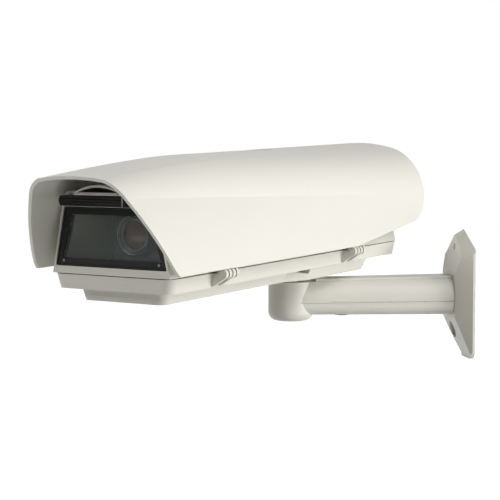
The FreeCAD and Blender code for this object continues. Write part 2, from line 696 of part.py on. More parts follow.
def pad_plan(rear, half_width, z):
    """Pad's outline, ramped at the front from the pedestal's side out to its own."""
    root = PEDESTAL_HALF_WIDTH - PEDESTAL_DRAFT - WALL
    near = [(Vector(rear, -half_width, z), 2), (Vector(PAD_FRONT + PAD_RAMP, -half_width, z), 0),
            (Vector(PAD_FRONT, -root, z), 0)]
    far = [(Vector(point.x, -point.y, z), radius) for point, radius in reversed(near)]
    return outline(near + far)


def tray_cavity():
    rim = RIM_WIDTH
    upper = loft([plan(rim, BODY_LENGTH - rim, BODY_HALF_WIDTH - rim, 1, BODY_CORNER - WALL),
                  plan(rim, BODY_LENGTH - rim, BODY_HALF_WIDTH - rim, -TRAY_DEPTH + WALL, BODY_CORNER - WALL)])
    inner_width = PEDESTAL_HALF_WIDTH - WALL
    foot_width = inner_width - PEDESTAL_DRAFT
    front = PEDESTAL_FRONT + WALL
    rear = PEDESTAL_REAR - WALL
    lower = loft([plan(front, rear, inner_width, -TRAY_DEPTH + WALL + 1, PEDESTAL_CORNER - WALL),
                  plan(front + PEDESTAL_DRAFT, rear - PEDESTAL_DRAFT, foot_width, PEDESTAL_BOTTOM + WALL,
                       PEDESTAL_CORNER - WALL)])
    return upper.fuse(lower)


def ring_between(outer_inset, width, z0, z1):
    outer = Part.Face(plan(outer_inset, BODY_LENGTH - outer_inset, BODY_HALF_WIDTH - outer_inset, z0,
                           BODY_CORNER - outer_inset)).extrude(Vector(0, 0, z1 - z0))
    inset = outer_inset + width
    inner = Part.Face(plan(inset, BODY_LENGTH - inset, BODY_HALF_WIDTH - inset, z0,
                           BODY_CORNER - inset)).extrude(Vector(0, 0, z1 - z0))
    return outer.cut(inner)


def side_scoop():
    """Finger scoop in the near ramp: a notch under the tray's edge that deepens up to the pad."""
    top = -TRAY_DEPTH
    rear = PAD_FRONT + PAD_RAMP
    y = -BODY_HALF_WIDTH
    corners = [(Vector(PAD_FRONT, y, top), 0), (Vector(rear, y, top), 0), (Vector(rear, y, top - SCOOP_HEIGHT), 0)]
    return prism(corners, Vector(0, PEDESTAL_SHELF, 0))


def lower_ear(x):
    """Ear of the lower shell: round head, level web and a gusset down the shell's side."""
    wall = -(BODY_HALF_WIDTH - WALL)
    head = rod(EAR_RADIUS, EAR_THICKNESS, Vector(x, -HINGE_OFFSET, HINGE_HEIGHT), Vector(1, 0, 0))
    angle = math.radians(EAR_WEB_ANGLE)
    tangent_y = -(HINGE_OFFSET + EAR_RADIUS * math.cos(angle))
    tangent_z = HINGE_HEIGHT + EAR_RADIUS * math.sin(angle)
    web = prism([(Vector(x, wall, -SEAM_GAP / 4), 0), (Vector(x, -HINGE_OFFSET, -SEAM_GAP / 4), 0),
                 (Vector(x, tangent_y, tangent_z), 0), (Vector(x, -BODY_HALF_WIDTH, -TRAY_DEPTH + 1), 0),
                 (Vector(x, wall, -TRAY_DEPTH + 1), 0)], Vector(EAR_THICKNESS, 0, 0))
    return head.fuse(web)


def ear_places(parity):
    pitch = EAR_THICKNESS + EAR_GAP
    return [station + i * pitch for station in HINGE_STATIONS for i in range(EAR_COUNT) if i % 2 == parity]


def pin_hole(station):
    length = EAR_COUNT * (EAR_THICKNESS + EAR_GAP) + 2
    return rod(PIN_RADIUS + PIN_CLEARANCE, length, Vector(station - 1, -HINGE_OFFSET, HINGE_HEIGHT),
               Vector(1, 0, 0))


def lug(x, low, high):
    """Closing-screw lug on the far side, a half-round pad joined to the wall."""
    body = rod(LUG_RADIUS, high - low, Vector(x, LUG_OFFSET, low))
    reach = LUG_OFFSET - (BODY_HALF_WIDTH - RIM_WIDTH)
    web = box(x - LUG_RADIUS, x + LUG_RADIUS, LUG_OFFSET - reach, LUG_OFFSET, low, high)
    return body.fuse(web)


def lower_shell():
    body = tray_outer().cut(tray_cavity())
    body = body.cut(side_scoop())
    floor = PEDESTAL_BOTTOM + WALL
    for y in (-RAIL_OFFSET, RAIL_OFFSET):
        body = body.fuse(box(RAIL_START, RAIL_END, y - RAIL_WIDTH / 2, y + RAIL_WIDTH / 2, floor - 0.5, RAIL_TOP))
    ears = [lower_ear(x) for x in ear_places(0)]
    lugs = [lug(x, -LUG_HEIGHT, 0) for x in LUG_STATIONS]
    body = fused(body, *(ears + lugs))
    body = body.cut(ring_between(GROOVE_INSET, GROOVE_WIDTH, -GROOVE_DEPTH, 1))
    for station in HINGE_STATIONS:
        body = body.cut(pin_hole(station))
    for x in LUG_STATIONS:
        body = body.cut(rod(CLOSING_SCREW_RADIUS + CLOSING_SCREW_FIT, 3 * LUG_HEIGHT,
                            Vector(x, LUG_OFFSET, -2 * LUG_HEIGHT)))
    for y in GLAND_OFFSETS:
        body = body.cut(rod(GLAND_RADIUS + FIT_GAP, 40, Vector(GLAND_STATION, y, -30)))
    for place in flange_screw_places(PEDESTAL_BOTTOM):
        body = body.cut(rod(2.1, 10, place - Vector(0, 0, 3)))
    for place in board_post_places():
        root = -TRAY_DEPTH + WALL / 2
        body = body.fuse(rod(BOARD_POST_RADIUS, BOARD_HEIGHT - root, Vector(place.x, place.y, root)))
        body = body.cut(rod(BOARD_SCREW_RADIUS + 0.05, 6, Vector(place.x, place.y, BOARD_HEIGHT - 5)))
    return body


def body_seal():
    return ring_between(GROOVE_INSET + FIT_GAP, GROOVE_WIDTH - 2 * FIT_GAP, -GROOVE_DEPTH, SEAM_GAP)


def hinge_pin(station):
    length = EAR_COUNT * EAR_THICKNESS + (EAR_COUNT - 1) * EAR_GAP
    return rod(PIN_RADIUS, length, Vector(station, -HINGE_OFFSET, HINGE_HEIGHT), Vector(1, 0, 0))


# Glands and electrics

def board_post_places():
    side = BOARD_HALF_WIDTH - BOARD_EDGE
    return [Vector(x, y, 0) for x in (BOARD_FRONT + BOARD_EDGE, BOARD_REAR - BOARD_EDGE) for y in (-side, side)]


def gland_place(y, z):
    return Vector(GLAND_STATION, y, z)


def gland_bodies():
    """Threaded tubes with a hexagon collar against the outside of the tray's floor."""
    shapes = []
    outside = -TRAY_DEPTH
    for y in GLAND_OFFSETS:
        low = outside - GLAND_THREAD_OUTSIDE
        body = rod(GLAND_RADIUS, GLAND_THREAD_OUTSIDE + GLAND_THREAD_INSIDE, gland_place(y, low))
        body = body.fuse(hexagon(GLAND_COLLAR_RADIUS, GLAND_COLLAR_HEIGHT, gland_place(y, outside - GLAND_COLLAR_HEIGHT)))
        shapes.append(body.cut(rod(GLAND_BORE + GLAND_SEAL_WALL + FIT_GAP, 60, gland_place(y, low - 10))))
    return Part.makeCompound(shapes)


def gland_nuts():
    """Dome nuts outside and lock nuts inside, one of each on every gland."""
    shapes = []
    top = -TRAY_DEPTH - GLAND_COLLAR_HEIGHT - GLAND_NUT_GAP
    low = top - GLAND_NUT_HEIGHT
    inside = -TRAY_DEPTH + WALL
    for y in GLAND_OFFSETS:
        dome = hexagon(GLAND_NUT_RADIUS, GLAND_NUT_HEIGHT, gland_place(y, low))
        dome = dome.fuse(Part.makeCone(GLAND_DOME_RADIUS, GLAND_DOME_MOUTH, GLAND_DOME_HEIGHT,
                                       gland_place(y, low), Vector(0, 0, -1)))
        thread_end = -TRAY_DEPTH - GLAND_THREAD_OUTSIDE - FIT_GAP
        dome = dome.cut(rod(GLAND_RADIUS + FIT_GAP, top - thread_end + 1, gland_place(y, thread_end)))
        dome = dome.cut(rod(GLAND_BORE + GLAND_SEAL_WALL + FIT_GAP, 60, gland_place(y, low - 30)))
        nut = hexagon(GLAND_NUT_RADIUS, LOCK_NUT_HEIGHT, gland_place(y, inside))
        nut = nut.cut(rod(GLAND_RADIUS + FIT_GAP, 10, gland_place(y, inside - 2)))
        shapes += [dome, nut]
    return Part.makeCompound(shapes)


def gland_seals():
    """Rubber sleeves that grip the cable, from each dome's inside up into its tube."""
    length = GLAND_THREAD_OUTSIDE + LOCK_NUT_HEIGHT
    shapes = []
    for y in GLAND_OFFSETS:
        base = gland_place(y, -TRAY_DEPTH - length - 1)
        shapes.append(rod(GLAND_BORE + GLAND_SEAL_WALL, length, base).cut(rod(GLAND_BORE, 40, base - Vector(0, 0, 10))))
    return Part.makeCompound(shapes)


def terminal_board():
    body = box(BOARD_FRONT, BOARD_REAR, -BOARD_HALF_WIDTH, BOARD_HALF_WIDTH, BOARD_HEIGHT,
               BOARD_HEIGHT + BOARD_THICKNESS)
    for place in board_post_places():
        body = body.cut(rod(1.5, 10, Vector(place.x, place.y, BOARD_HEIGHT - 4)))
    return body


def terminal_blocks():
    """Screw terminals in two rows, with a wire mouth and a clamp screw well for each pole."""
    top = BOARD_HEIGHT + BOARD_THICKNESS
    shapes = []
    for y0, poles in ((-40.0, 6), (12.0, 4)):
        pitch = 5.0
        body = box(BOARD_FRONT + 26, BOARD_FRONT + 34, y0, y0 + poles * pitch, top, top + 10)
        for i in range(poles):
            y = y0 + pitch * (i + 0.5)
            body = body.cut(rod(1.6, 4, Vector(BOARD_FRONT + 30, y, top + 7)))
            body = body.cut(box(BOARD_FRONT + 32, BOARD_FRONT + 35, y - 1.5, y + 1.5, top + 1, top + 4))
        shapes.append(body)
    return Part.makeCompound(shapes)


def board_screws():
    top = BOARD_HEIGHT + BOARD_THICKNESS
    return Part.makeCompound([moved(pan_head(2.6, 1.8, 1.05, 6), Vector(place.x, place.y, top))
                              for place in board_post_places()])


def front_heater():
    """Finned demister heater on the tray floor behind the window."""
    floor = PEDESTAL_BOTTOM + WALL
    body = box(20, 40, -22, 22, floor, floor + 4)
    for i in range(9):
        y = -20 + 5 * i
        body = body.fuse(box(20, 40, y - 0.8, y + 0.8, floor + 3.5, floor + 16))
    return body.removeSplitter()


# Cover and window

def cover_section(x, inset, hump):
    """Cover's outline across the body: leaning sides, flat shoulders and a raised middle."""
    base = SEAM_GAP if inset == 0 else -1
    side = BODY_HALF_WIDTH - inset
    lean = COVER_LEAN_HALF_WIDTH - inset
    shoulder = COVER_SHOULDER - inset
    shoulder_side = COVER_SHOULDER_HALF_WIDTH - inset * 0.6
    middle = math.hypot(lean - shoulder_side, shoulder - COVER_LEAN_TOP) * COVER_SHOULDER_BULGE
    mid_y = (lean + shoulder_side) / 2 + middle
    mid_z = (COVER_LEAN_TOP + shoulder) / 2 + middle
    hump_side = HUMP_HALF_WIDTH - inset * 0.5
    crown = HUMP_TOP - inset if hump else shoulder + 0.5
    points = [Vector(x, -side, base), Vector(x, -lean, COVER_LEAN_TOP), Vector(x, -mid_y, mid_z),
              Vector(x, -shoulder_side, shoulder), Vector(x, -hump_side, shoulder), Vector(x, 0, crown)]
    mirror = [Vector(x, -point.y, point.z) for point in points[:5]]
    edges = [Part.LineSegment(points[0], points[1]).toShape(),
             Part.Arc(points[1], points[2], points[3]).toShape(),
             Part.LineSegment(points[3], points[4]).toShape(),
             Part.Arc(points[4], points[5], mirror[4]).toShape(),
             Part.LineSegment(mirror[4], mirror[3]).toShape(),
             Part.Arc(mirror[3], mirror[2], mirror[1]).toShape(),
             Part.LineSegment(mirror[1], mirror[0]).toShape(),
             Part.LineSegment(mirror[0], points[0]).toShape()]
    return Part.Wire(edges)


def window_shape(grow, x0, x1):
    """Window's trapezium, grown or shrunk by a margin, with rounded corners."""
    radius = max(WINDOW_CORNER + grow, WINDOW_CORNER / 2)
    low = WINDOW_BOTTOM - grow
    high = WINDOW_TOP + grow
    half_low = WINDOW_HALF_BOTTOM + grow
    half_high = WINDOW_HALF_TOP + grow
    return prism([(Vector(x0, -half_low, low), radius), (Vector(x0, half_low, low), radius),
                  (Vector(x0, half_high, high), radius), (Vector(x0, -half_high, high), radius)],
                 Vector(x1 - x0, 0, 0))


def frame_screw_places(x):
    return [Vector(x, side * FRAME_SCREW_OFFSET, WINDOW_TOP + FRAME_SCREW_RISE) for side in (-1, 1)]


def upper_shell():
    outer = Part.Face(cover_section(0, 0, True)).extrude(Vector(BODY_LENGTH, 0, 0))
    rear = [edge for edge in outer.Edges if edge.BoundBox.XMin > BODY_LENGTH - 1 and edge.BoundBox.ZMax > 2]
    outer = outer.makeFillet(REAR_ROUND, rear)
    inner_length = BODY_LENGTH - WALL - FRONT_WALL
    inner = Part.Face(cover_section(FRONT_WALL, WALL, True)).extrude(Vector(inner_length, 0, 0))
    hood = Part.Face(cover_section(-HUMP_OVERHANG, 0, True)).extrude(Vector(HUMP_OVERHANG + 1, 0, 0))
    hood = hood.common(box(-HUMP_OVERHANG, 1, -HUMP_HALF_WIDTH, HUMP_HALF_WIDTH, COVER_SHOULDER, HUMP_TOP + 1))
    body = fused(outer, hood).cut(inner)
    mouth = Part.Face(hood_mouth_wire(-HUMP_OVERHANG - 1)).extrude(Vector(HUMP_OVERHANG - 1, 0, 0))
    body = body.cut(mouth)
    body = body.cut(window_shape(0, -1, FRONT_WALL + 1))
    body = body.cut(window_shape(WINDOW_REBATE, WINDOW_LIP, FRONT_WALL + 6))
    for place in frame_screw_places(FRONT_WALL):
        body = body.cut(rod(1.3, 3, place - Vector(2.6, 0, 0), Vector(1, 0, 0)))
    ears = [cover_ear(x) for x in ear_places(1)]
    lugs = [lug(x, SEAM_GAP, LUG_HEIGHT + SEAM_GAP) for x in LUG_STATIONS]
    trim = Part.Face(cover_section(FRONT_WALL, WALL, True)).extrude(Vector(inner_length, 0, 0))
    lugs = [shape.cut(trim) for shape in lugs]
    body = fused(body, *(ears + lugs))
    for station in HINGE_STATIONS:
        body = body.cut(pin_hole(station))
    for x in LUG_STATIONS:
        body = body.cut(rod(CLOSING_SCREW_RADIUS + CLOSING_SCREW_FIT, 3 * LUG_HEIGHT, Vector(x, LUG_OFFSET, -2)))
    for x in SPACER_STATIONS:
        body = body.cut(rod(1.6, 20, Vector(x, 0, HUMP_TOP - 10)))
    return body


def hood_mouth_wire(x):
    """Crescent opening under the hump at the front, left by the hump's wall."""
    low = COVER_SHOULDER
    side = HUMP_HALF_WIDTH - 2 * HUMP_WALL
    left = Vector(x, -side, low)
    right = Vector(x, side, low)
    top = Vector(x, 0, HUMP_TOP - HUMP_WALL)
    return Part.Wire([Part.Arc(left, top, right).toShape(), Part.LineSegment(right, left).toShape()])


def cover_side(z):
    """Half width of the cover's leaning side at a height."""
    share = (z - SEAM_GAP) / (COVER_LEAN_TOP - SEAM_GAP)
    return BODY_HALF_WIDTH - COVER_LEAN_IN * share


def cover_ear(x):
    """Ear of the cover: round head and a web whose root follows the leaning side."""
    head = rod(EAR_RADIUS, EAR_THICKNESS, Vector(x, -HINGE_OFFSET, HINGE_HEIGHT), Vector(1, 0, 0))
    low = SEAM_GAP + 0.4
    high = EAR_ROOT_HEIGHT
    neck = -HINGE_OFFSET - EAR_ROOT
    web = prism([(Vector(x, -cover_side(low) + EAR_ROOT, low), 0), (Vector(x, -cover_side(high) + EAR_ROOT, high), 0),
                 (Vector(x, -cover_side(high) - EAR_ROOT, high), 0),
                 (Vector(x, neck, HINGE_HEIGHT + EAR_RADIUS - 0.3), 0), (Vector(x, neck, HINGE_HEIGHT), 0),
                 (Vector(x, -BODY_HALF_WIDTH - 2 * EAR_ROOT, low), 0)], Vector(EAR_THICKNESS, 0, 0))
    return head.fuse(web)


def window_seal():
    x0 = WINDOW_LIP
    body = window_shape(WINDOW_REBATE - FIT_GAP, x0, x0 + SEAL_DEPTH)
    body = body.cut(window_shape(-SEAL_BAND, x0 - 1, x0 + SEAL_DEPTH + 1))
    return body.cut(glass_shape(0))


def glass_shape(clearance):
    x0 = WINDOW_LIP + (SEAL_DEPTH - GLASS_THICKNESS) / 2
    return window_shape(-SEAL_BAND + GLASS_GRIP + 0.6 - clearance, x0, x0 + GLASS_THICKNESS)


def window_glass():
    return glass_shape(0.02)


def window_frame():
    """Clamp frame behind the glass, held by two screws in tabs at its top."""
    x0 = WINDOW_LIP + SEAL_DEPTH
    body = window_shape(WINDOW_REBATE - 2 * FIT_GAP, x0, x0 + FRAME_THICKNESS)
    for place in frame_screw_places(x0):
        tab = box(x0, x0 + FRAME_THICKNESS, place.y - FRAME_TAB_HALF_WIDTH, place.y + FRAME_TAB_HALF_WIDTH,
                  WINDOW_TOP - 2, place.z + FRAME_TAB_REACH)
        body = body.fuse(tab)
    body = body.cut(window_shape(-SEAL_BAND, x0 - 1, x0 + FRAME_THICKNESS + 1))
    for place in frame_screw_places(x0):
        body = body.cut(rod(1.6, 10, place - Vector(3, 0, 0), Vector(1, 0, 0)))
    return body.removeSplitter()


def frame_spacers():
    """Collars that fill the step between the front wall and the clamp frame's tabs."""
    x0 = FRONT_WALL
    length = WINDOW_LIP + SEAL_DEPTH - FRONT_WALL
    return Part.makeCompound([rod(3.2, length, place, Vector(1, 0, 0)).cut(
        rod(1.6, 10, place - Vector(2, 0, 0), Vector(1, 0, 0))) for place in frame_screw_places(x0)])


def frame_screws():
    x0 = WINDOW_LIP + SEAL_DEPTH + FRAME_THICKNESS
    return Part.makeCompound([moved(pan_head(2.8, 2, 1.25, 6.4), place, Vector(1, 0, 0))
                              for place in frame_screw_places(x0)])


def bar_profile(y0, y1):
    """Black ribbed strip above the window, its front scalloped by long ribs."""
    height = BAR_TOP - BAR_BOTTOM
    body = box(-BAR_DEPTH, 0, y0, y1, BAR_BOTTOM, BAR_TOP)
    pitch = height / BAR_RIBS
    for i in range(BAR_RIBS):
        z = BAR_BOTTOM + pitch * (i + 0.5)
        groove = rod(BAR_RIB_RADIUS, y1 - y0 + 2, Vector(-BAR_DEPTH, y0 - 1, z + pitch / 2), Vector(0, 1, 0))
        if i < BAR_RIBS - 1:
            body = body.cut(groove)
    return body


def bar_end_shape():
    radius = (BAR_TOP - BAR_BOTTOM) / 2 - 0.1
    x = -BAR_DEPTH - 2
    return prism([(Vector(x, -BAR_HALF_LENGTH, BAR_BOTTOM), radius),
                  (Vector(x, BAR_HALF_LENGTH, BAR_BOTTOM), radius),
                  (Vector(x, BAR_HALF_LENGTH, BAR_TOP), radius),
                  (Vector(x, -BAR_HALF_LENGTH, BAR_TOP), radius)], Vector(BAR_DEPTH + 4, 0, 0))


def brow_bar():
    body = bar_profile(-BAR_SPLIT, BAR_HALF_LENGTH).common(bar_end_shape())
    return body.cut(clip_envelope())


def brow_end_block():
    return bar_profile(-BAR_HALF_LENGTH, -BAR_SPLIT - CLIP_WIDTH).common(bar_end_shape())


def clip_envelope():
    return box(-BAR_DEPTH - 2, 2, -BAR_SPLIT - CLIP_WIDTH, -BAR_SPLIT, BAR_BOTTOM - 2, BAR_TOP + 0.01)


def brow_clip():
    """Bright band between the bar and its end block, with a lip proud of the front."""
    return box(-BAR_DEPTH - CLIP_THICKNESS, 0, -BAR_SPLIT - CLIP_WIDTH, -BAR_SPLIT,
               BAR_BOTTOM - CLIP_THICKNESS / 2, BAR_TOP)


def brow_strip():
    low = COVER_SHOULDER - STRIP_THICKNESS
    body = box(-HUMP_OVERHANG, 0, -HUMP_HALF_WIDTH, HUMP_HALF_WIDTH, BAR_TOP, COVER_SHOULDER)
    body = body.cut(box(-HUMP_OVERHANG - 1, -3, -HUMP_HALF_WIDTH - 1, HUMP_HALF_WIDTH + 1, BAR_TOP - 1, low))
    return body.removeSplitter()


def vent_insert():
    """Black louvre in the hood's mouth."""
    x0 = -HUMP_OVERHANG + HOOD_RECESS
    body = Part.Face(hood_mouth_wire(x0)).extrude(Vector(-x0 - 2 - FIT_GAP, 0, 0))
    shrink = body.BoundBox
    for i in range(3):
        z = shrink.ZMin + 0.9 + i * 0.9
        body = body.cut(box(x0 - 1, x0 + 5, -HUMP_HALF_WIDTH, HUMP_HALF_WIDTH, z, z + 0.4))
    return body


# Sunshield

def shield_drop(x):
    """How far the crown has sunk below its rear height, nearer the brow."""
    return SHIELD_DROP_FACTOR * max(SHIELD_DROP_START - x, 0) ** SHIELD_DROP_POWER


def shield_section(x, inset):
    """Section of the sunshield: upright and full at the rear, leaning and lower at the front."""
    span = (x - SHIELD_FRONT) / (SHIELD_REAR - SHIELD_FRONT)
    corners = zip(SHIELD_FRONT_CORNERS, SHIELD_REAR_CORNERS, SHIELD_FALL_SHARES, SHIELD_WALL_SHARES)
    far = []
    for front, rear, fall, wall in corners:
        narrowing = front[0] + (rear[0] - front[0]) * span
        start = front[1] + fall * shield_drop(SHIELD_FRONT)
        height = start + (rear[1] - start) * span - fall * shield_drop(x)
        far.append(Vector(x, SHIELD_HALF_WIDTH - narrowing - wall[0] * inset, height - wall[1] * inset))
    near = [Vector(x, -point.y, point.z) for point in far]
    crown = Vector(x, 0, SHIELD_CROWN - shield_drop(x) - inset)
    edges = [Part.Arc(near[0], near[1], near[2]).toShape(), Part.Arc(near[2], near[3], near[4]).toShape(),
             Part.Arc(near[4], crown, far[4]).toShape(), Part.Arc(far[4], far[3], far[2]).toShape(),
             Part.Arc(far[2], far[1], far[0]).toShape(), Part.LineSegment(far[0], near[0]).toShape()]
    return Part.Wire(edges)


def shield_side_view():
    """Side profile that trims the sunshield: raked front, rising tail and rounded rear corner."""
    y = -SHIELD_HALF_WIDTH - 5
    low = SHIELD_BOTTOM

    def at(x, z):
        return Vector(x, y, z)

    knee = at(SHIELD_CUT_BEND, SHIELD_CUT_BEND_HEIGHT)
    top = at(SHIELD_CUT_BEND + SHIELD_CUT_RAKE * (SHIELD_CROWN + 10 - SHIELD_CUT_BEND_HEIGHT), SHIELD_CROWN + 10)
    tail = at(SHIELD_TAIL_END, SHIELD_TAIL_HEIGHT)
    round_end = at(SHIELD_REAR, SHIELD_TAIL_ROUND_HEIGHT)
    round_middle = at(SHIELD_REAR - 7.5, SHIELD_TAIL_HEIGHT + 9.0)
    high_rear = at(SHIELD_REAR, SHIELD_CROWN + 10)
    start = at(SHIELD_CUT_LOW, low)
    edges = [Part.LineSegment(start, knee).toShape(), Part.LineSegment(knee, top).toShape(),
             Part.LineSegment(top, high_rear).toShape(), Part.LineSegment(high_rear, round_end).toShape(),
             Part.Arc(round_end, round_middle, tail).toShape(),
             Part.LineSegment(tail, at(SHIELD_TAIL_START, low)).toShape(),
             Part.LineSegment(at(SHIELD_TAIL_START, low), start).toShape()]
    return Part.Face(Part.Wire(edges)).extrude(Vector(0, 2 * SHIELD_HALF_WIDTH + 10, 0))


def shield_form(inset):
    """Solid of the sunshield's form: a curved brow at the front and straight flanks behind it."""
    start = SHIELD_FRONT - SHIELD_OVERRUN
    step = (SHIELD_DROP_START - start) / (SHIELD_BROW_STATIONS - 1)
    brow = loft([shield_section(start + i * step, inset) for i in range(SHIELD_BROW_STATIONS)], ruled=False)
    flank = loft([shield_section(x, inset) for x in (SHIELD_DROP_START, SHIELD_REAR + SHIELD_OVERRUN)])
    return brow.fuse(flank)


def sunshield():
    body = shield_form(0).cut(shield_form(SHIELD_WALL)).common(shield_side_view())
    seat = SHIELD_CROWN - RECESS_DEPTH
    recess = plan(RECESS_FRONT, RECESS_REAR, RECESS_HALF_WIDTH, seat, RECESS_HALF_WIDTH / 2)
    body = body.cut(Part.Face(recess).extrude(Vector(0, 0, 10)))
    for x in SPACER_STATIONS:
        body = body.cut(rod(SHIELD_SCREW_HOLE, 20, Vector(x, 0, seat - 10)))
        body = body.cut(Part.makeCone(SHIELD_SCREW_HOLE, SHIELD_SCREW_HEAD + FIT_GAP, SHIELD_SCREW_SINK,
                                      Vector(x, 0, seat - SHIELD_SCREW_SINK)))
    return body


def shield_spacers():
    """Moulded pillars between the cover's hump and the sunshield, topped by the sheet's own curve."""
    low = HUMP_TOP
    shapes = []
    for x in SPACER_STATIONS:
        body = rod(SPACER_RADIUS, SHIELD_CROWN - low, Vector(x, 0, low))
        body = body.common(shield_form(SHIELD_WALL))
        body = body.fuse(rod(SPACER_RADIUS + SPACER_FOOT_WIDTH, SPACER_FOOT_THICKNESS, Vector(x, 0, low)))
        shapes.append(body.cut(rod(SPACER_BORE, 60, Vector(x, 0, low - 5))))
    return Part.makeCompound(shapes)


def shield_screws():
    """Countersunk screws, flush in the recess, down through the spacers into the cover."""
    seat = SHIELD_CROWN - RECESS_DEPTH
    length = seat - HUMP_TOP + WALL - 0.5
    shapes = []
    for x in SPACER_STATIONS:
        head = Part.makeCone(SHIELD_SCREW_RADIUS, SHIELD_SCREW_HEAD, SHIELD_SCREW_SINK, Vector(0, 0, -SHIELD_SCREW_SINK))
        slot = box(-2.6, 2.6, -0.45, 0.45, -1.2, 1)
        cross = slot.fuse(slot.rotated(Vector(0, 0, 0), Vector(0, 0, 1), 90))
        shank = rod(SHIELD_SCREW_RADIUS, length, Vector(0, 0, -length))
        shapes.append(moved(head.fuse(shank).cut(cross), Vector(x, 0, seat)))
    return Part.makeCompound(shapes)


def closing_screws():
    shapes = []
    seat = LUG_HEIGHT + SEAM_GAP
    for x in LUG_STATIONS:
        head = rod(CLOSING_HEAD_RADIUS, CLOSING_HEAD_HEIGHT, Vector(0, 0, 0))
        head = head.cut(hexagon(CLOSING_HEAD_RADIUS / 2, CLOSING_HEAD_HEIGHT, Vector(0, 0, 2)))
        shank = rod(CLOSING_SCREW_RADIUS, seat + LUG_HEIGHT - 1, Vector(0, 0, -seat - LUG_HEIGHT + 1))
        shapes.append(moved(head.fuse(shank), Vector(x, LUG_OFFSET, seat)))
    return Part.makeCompound(shapes)


# Camera, lens and slide

def slide_top():
    return RAIL_TOP + SLIDE_THICKNESS


def camera_slide():
    body = Part.Face(plan(SLIDE_START, SLIDE_END, SLIDE_HALF_WIDTH, RAIL_TOP, 4)).extrude(
        Vector(0, 0, SLIDE_THICKNESS))
    for x in (SLIDE_START + 12, SLIDE_END - 30):
        slot = Part.Face(plan(x, x + 20, 2.2, RAIL_TOP - 1, 2.1)).extrude(Vector(0, 0, SLIDE_THICKNESS + 2))
        body = body.cut(slot)
    middle = LENS_BOX_FRONT + LENS_BOX_LENGTH + CAMERA_LENGTH / 2
    return body.cut(rod(3.4, 20, Vector(middle, 0, RAIL_TOP - 5)))


def slide_clamps():
    """Stepped keepers screwed to the slide, hooked under nothing but resting beside each rail."""
    shapes = []
    for x in (SLIDE_START + 40, SLIDE_END - 50):
        for side in (-1, 1):
            y = side * (RAIL_OFFSET + RAIL_WIDTH / 2 + RUNNING_GAP + 1.5)
            shapes.append(box(x, x + 14, y - 1.5, y + 1.5, RAIL_TOP - 8, RAIL_TOP))
    return Part.makeCompound(shapes)


def camera_foot():
    """Spacer block between the slide and the camera, drilled for the tripod screw."""
    start = LENS_BOX_FRONT + LENS_BOX_LENGTH + 18
    body = box(start, start + 60, -16, 16, slide_top(), LENS_HEIGHT - CAMERA_HALF_HEIGHT)
    middle = LENS_BOX_FRONT + LENS_BOX_LENGTH + CAMERA_LENGTH / 2
    return body.cut(rod(3.4, 20, Vector(middle, 0, RAIL_TOP - 5)))


def camera_screw():
    middle = LENS_BOX_FRONT + LENS_BOX_LENGTH + CAMERA_LENGTH / 2
    head = rod(7, 3, Vector(middle, 0, RAIL_TOP - 3))
    shank = rod(3.1, LENS_HEIGHT - CAMERA_HALF_HEIGHT - RAIL_TOP + 5, Vector(middle, 0, RAIL_TOP))
    slot = box(middle - 8, middle + 8, -0.7, 0.7, RAIL_TOP - 4, RAIL_TOP - 1.8)
    return head.fuse(shank).cut(slot)


def camera_body():
    start = LENS_BOX_FRONT + LENS_BOX_LENGTH
    low = LENS_HEIGHT - CAMERA_HALF_HEIGHT
    high = LENS_HEIGHT + CAMERA_HALF_HEIGHT
    body = Part.Face(across(start, CAMERA_HALF_WIDTH, low, high, CAMERA_CORNER, CAMERA_CORNER)).extrude(
        Vector(CAMERA_LENGTH, 0, 0))
    middle = start + CAMERA_LENGTH / 2
    body = body.cut(rod(3.2, 6, Vector(middle, 0, low - 0.5)))
    for i in range(10):
        x = start + 18 + i * 7
        for side in (-1, 1):
            y = side * CAMERA_HALF_WIDTH
            body = body.cut(box(x, x + 2.4, min(y, y - side), max(y, y - side), LENS_HEIGHT - 12, LENS_HEIGHT + 12))
    rear = start + CAMERA_LENGTH
    socket = rod(6.5, 3, Vector(rear, -16, LENS_HEIGHT + 8), Vector(1, 0, 0))
    socket = socket.fuse(rod(4.8, 9, Vector(rear, -16, LENS_HEIGHT + 8), Vector(1, 0, 0)))
    return fused(body, socket, box(rear, rear + 5, 2, 20, LENS_HEIGHT - 14, LENS_HEIGHT - 6))


def lens_housing():
    low = LENS_HEIGHT - LENS_BOX_HALF_HEIGHT
    high = LENS_HEIGHT + LENS_BOX_HALF_HEIGHT
    body = Part.Face(across(LENS_BOX_FRONT, LENS_BOX_HALF_WIDTH, low, high, LENS_BOX_CORNER,
                            LENS_BOX_CORNER)).extrude(Vector(LENS_BOX_LENGTH, 0, 0))
    front = [edge for edge in body.Edges if edge.BoundBox.XMax < LENS_BOX_FRONT + 0.1]
    body = body.makeFillet(1.5, front)
    return body.cut(rod(LENS_RING_RADIUS + RUNNING_GAP, 14, Vector(LENS_BOX_FRONT - 1, 0, LENS_HEIGHT),
                        Vector(1, 0, 0)))


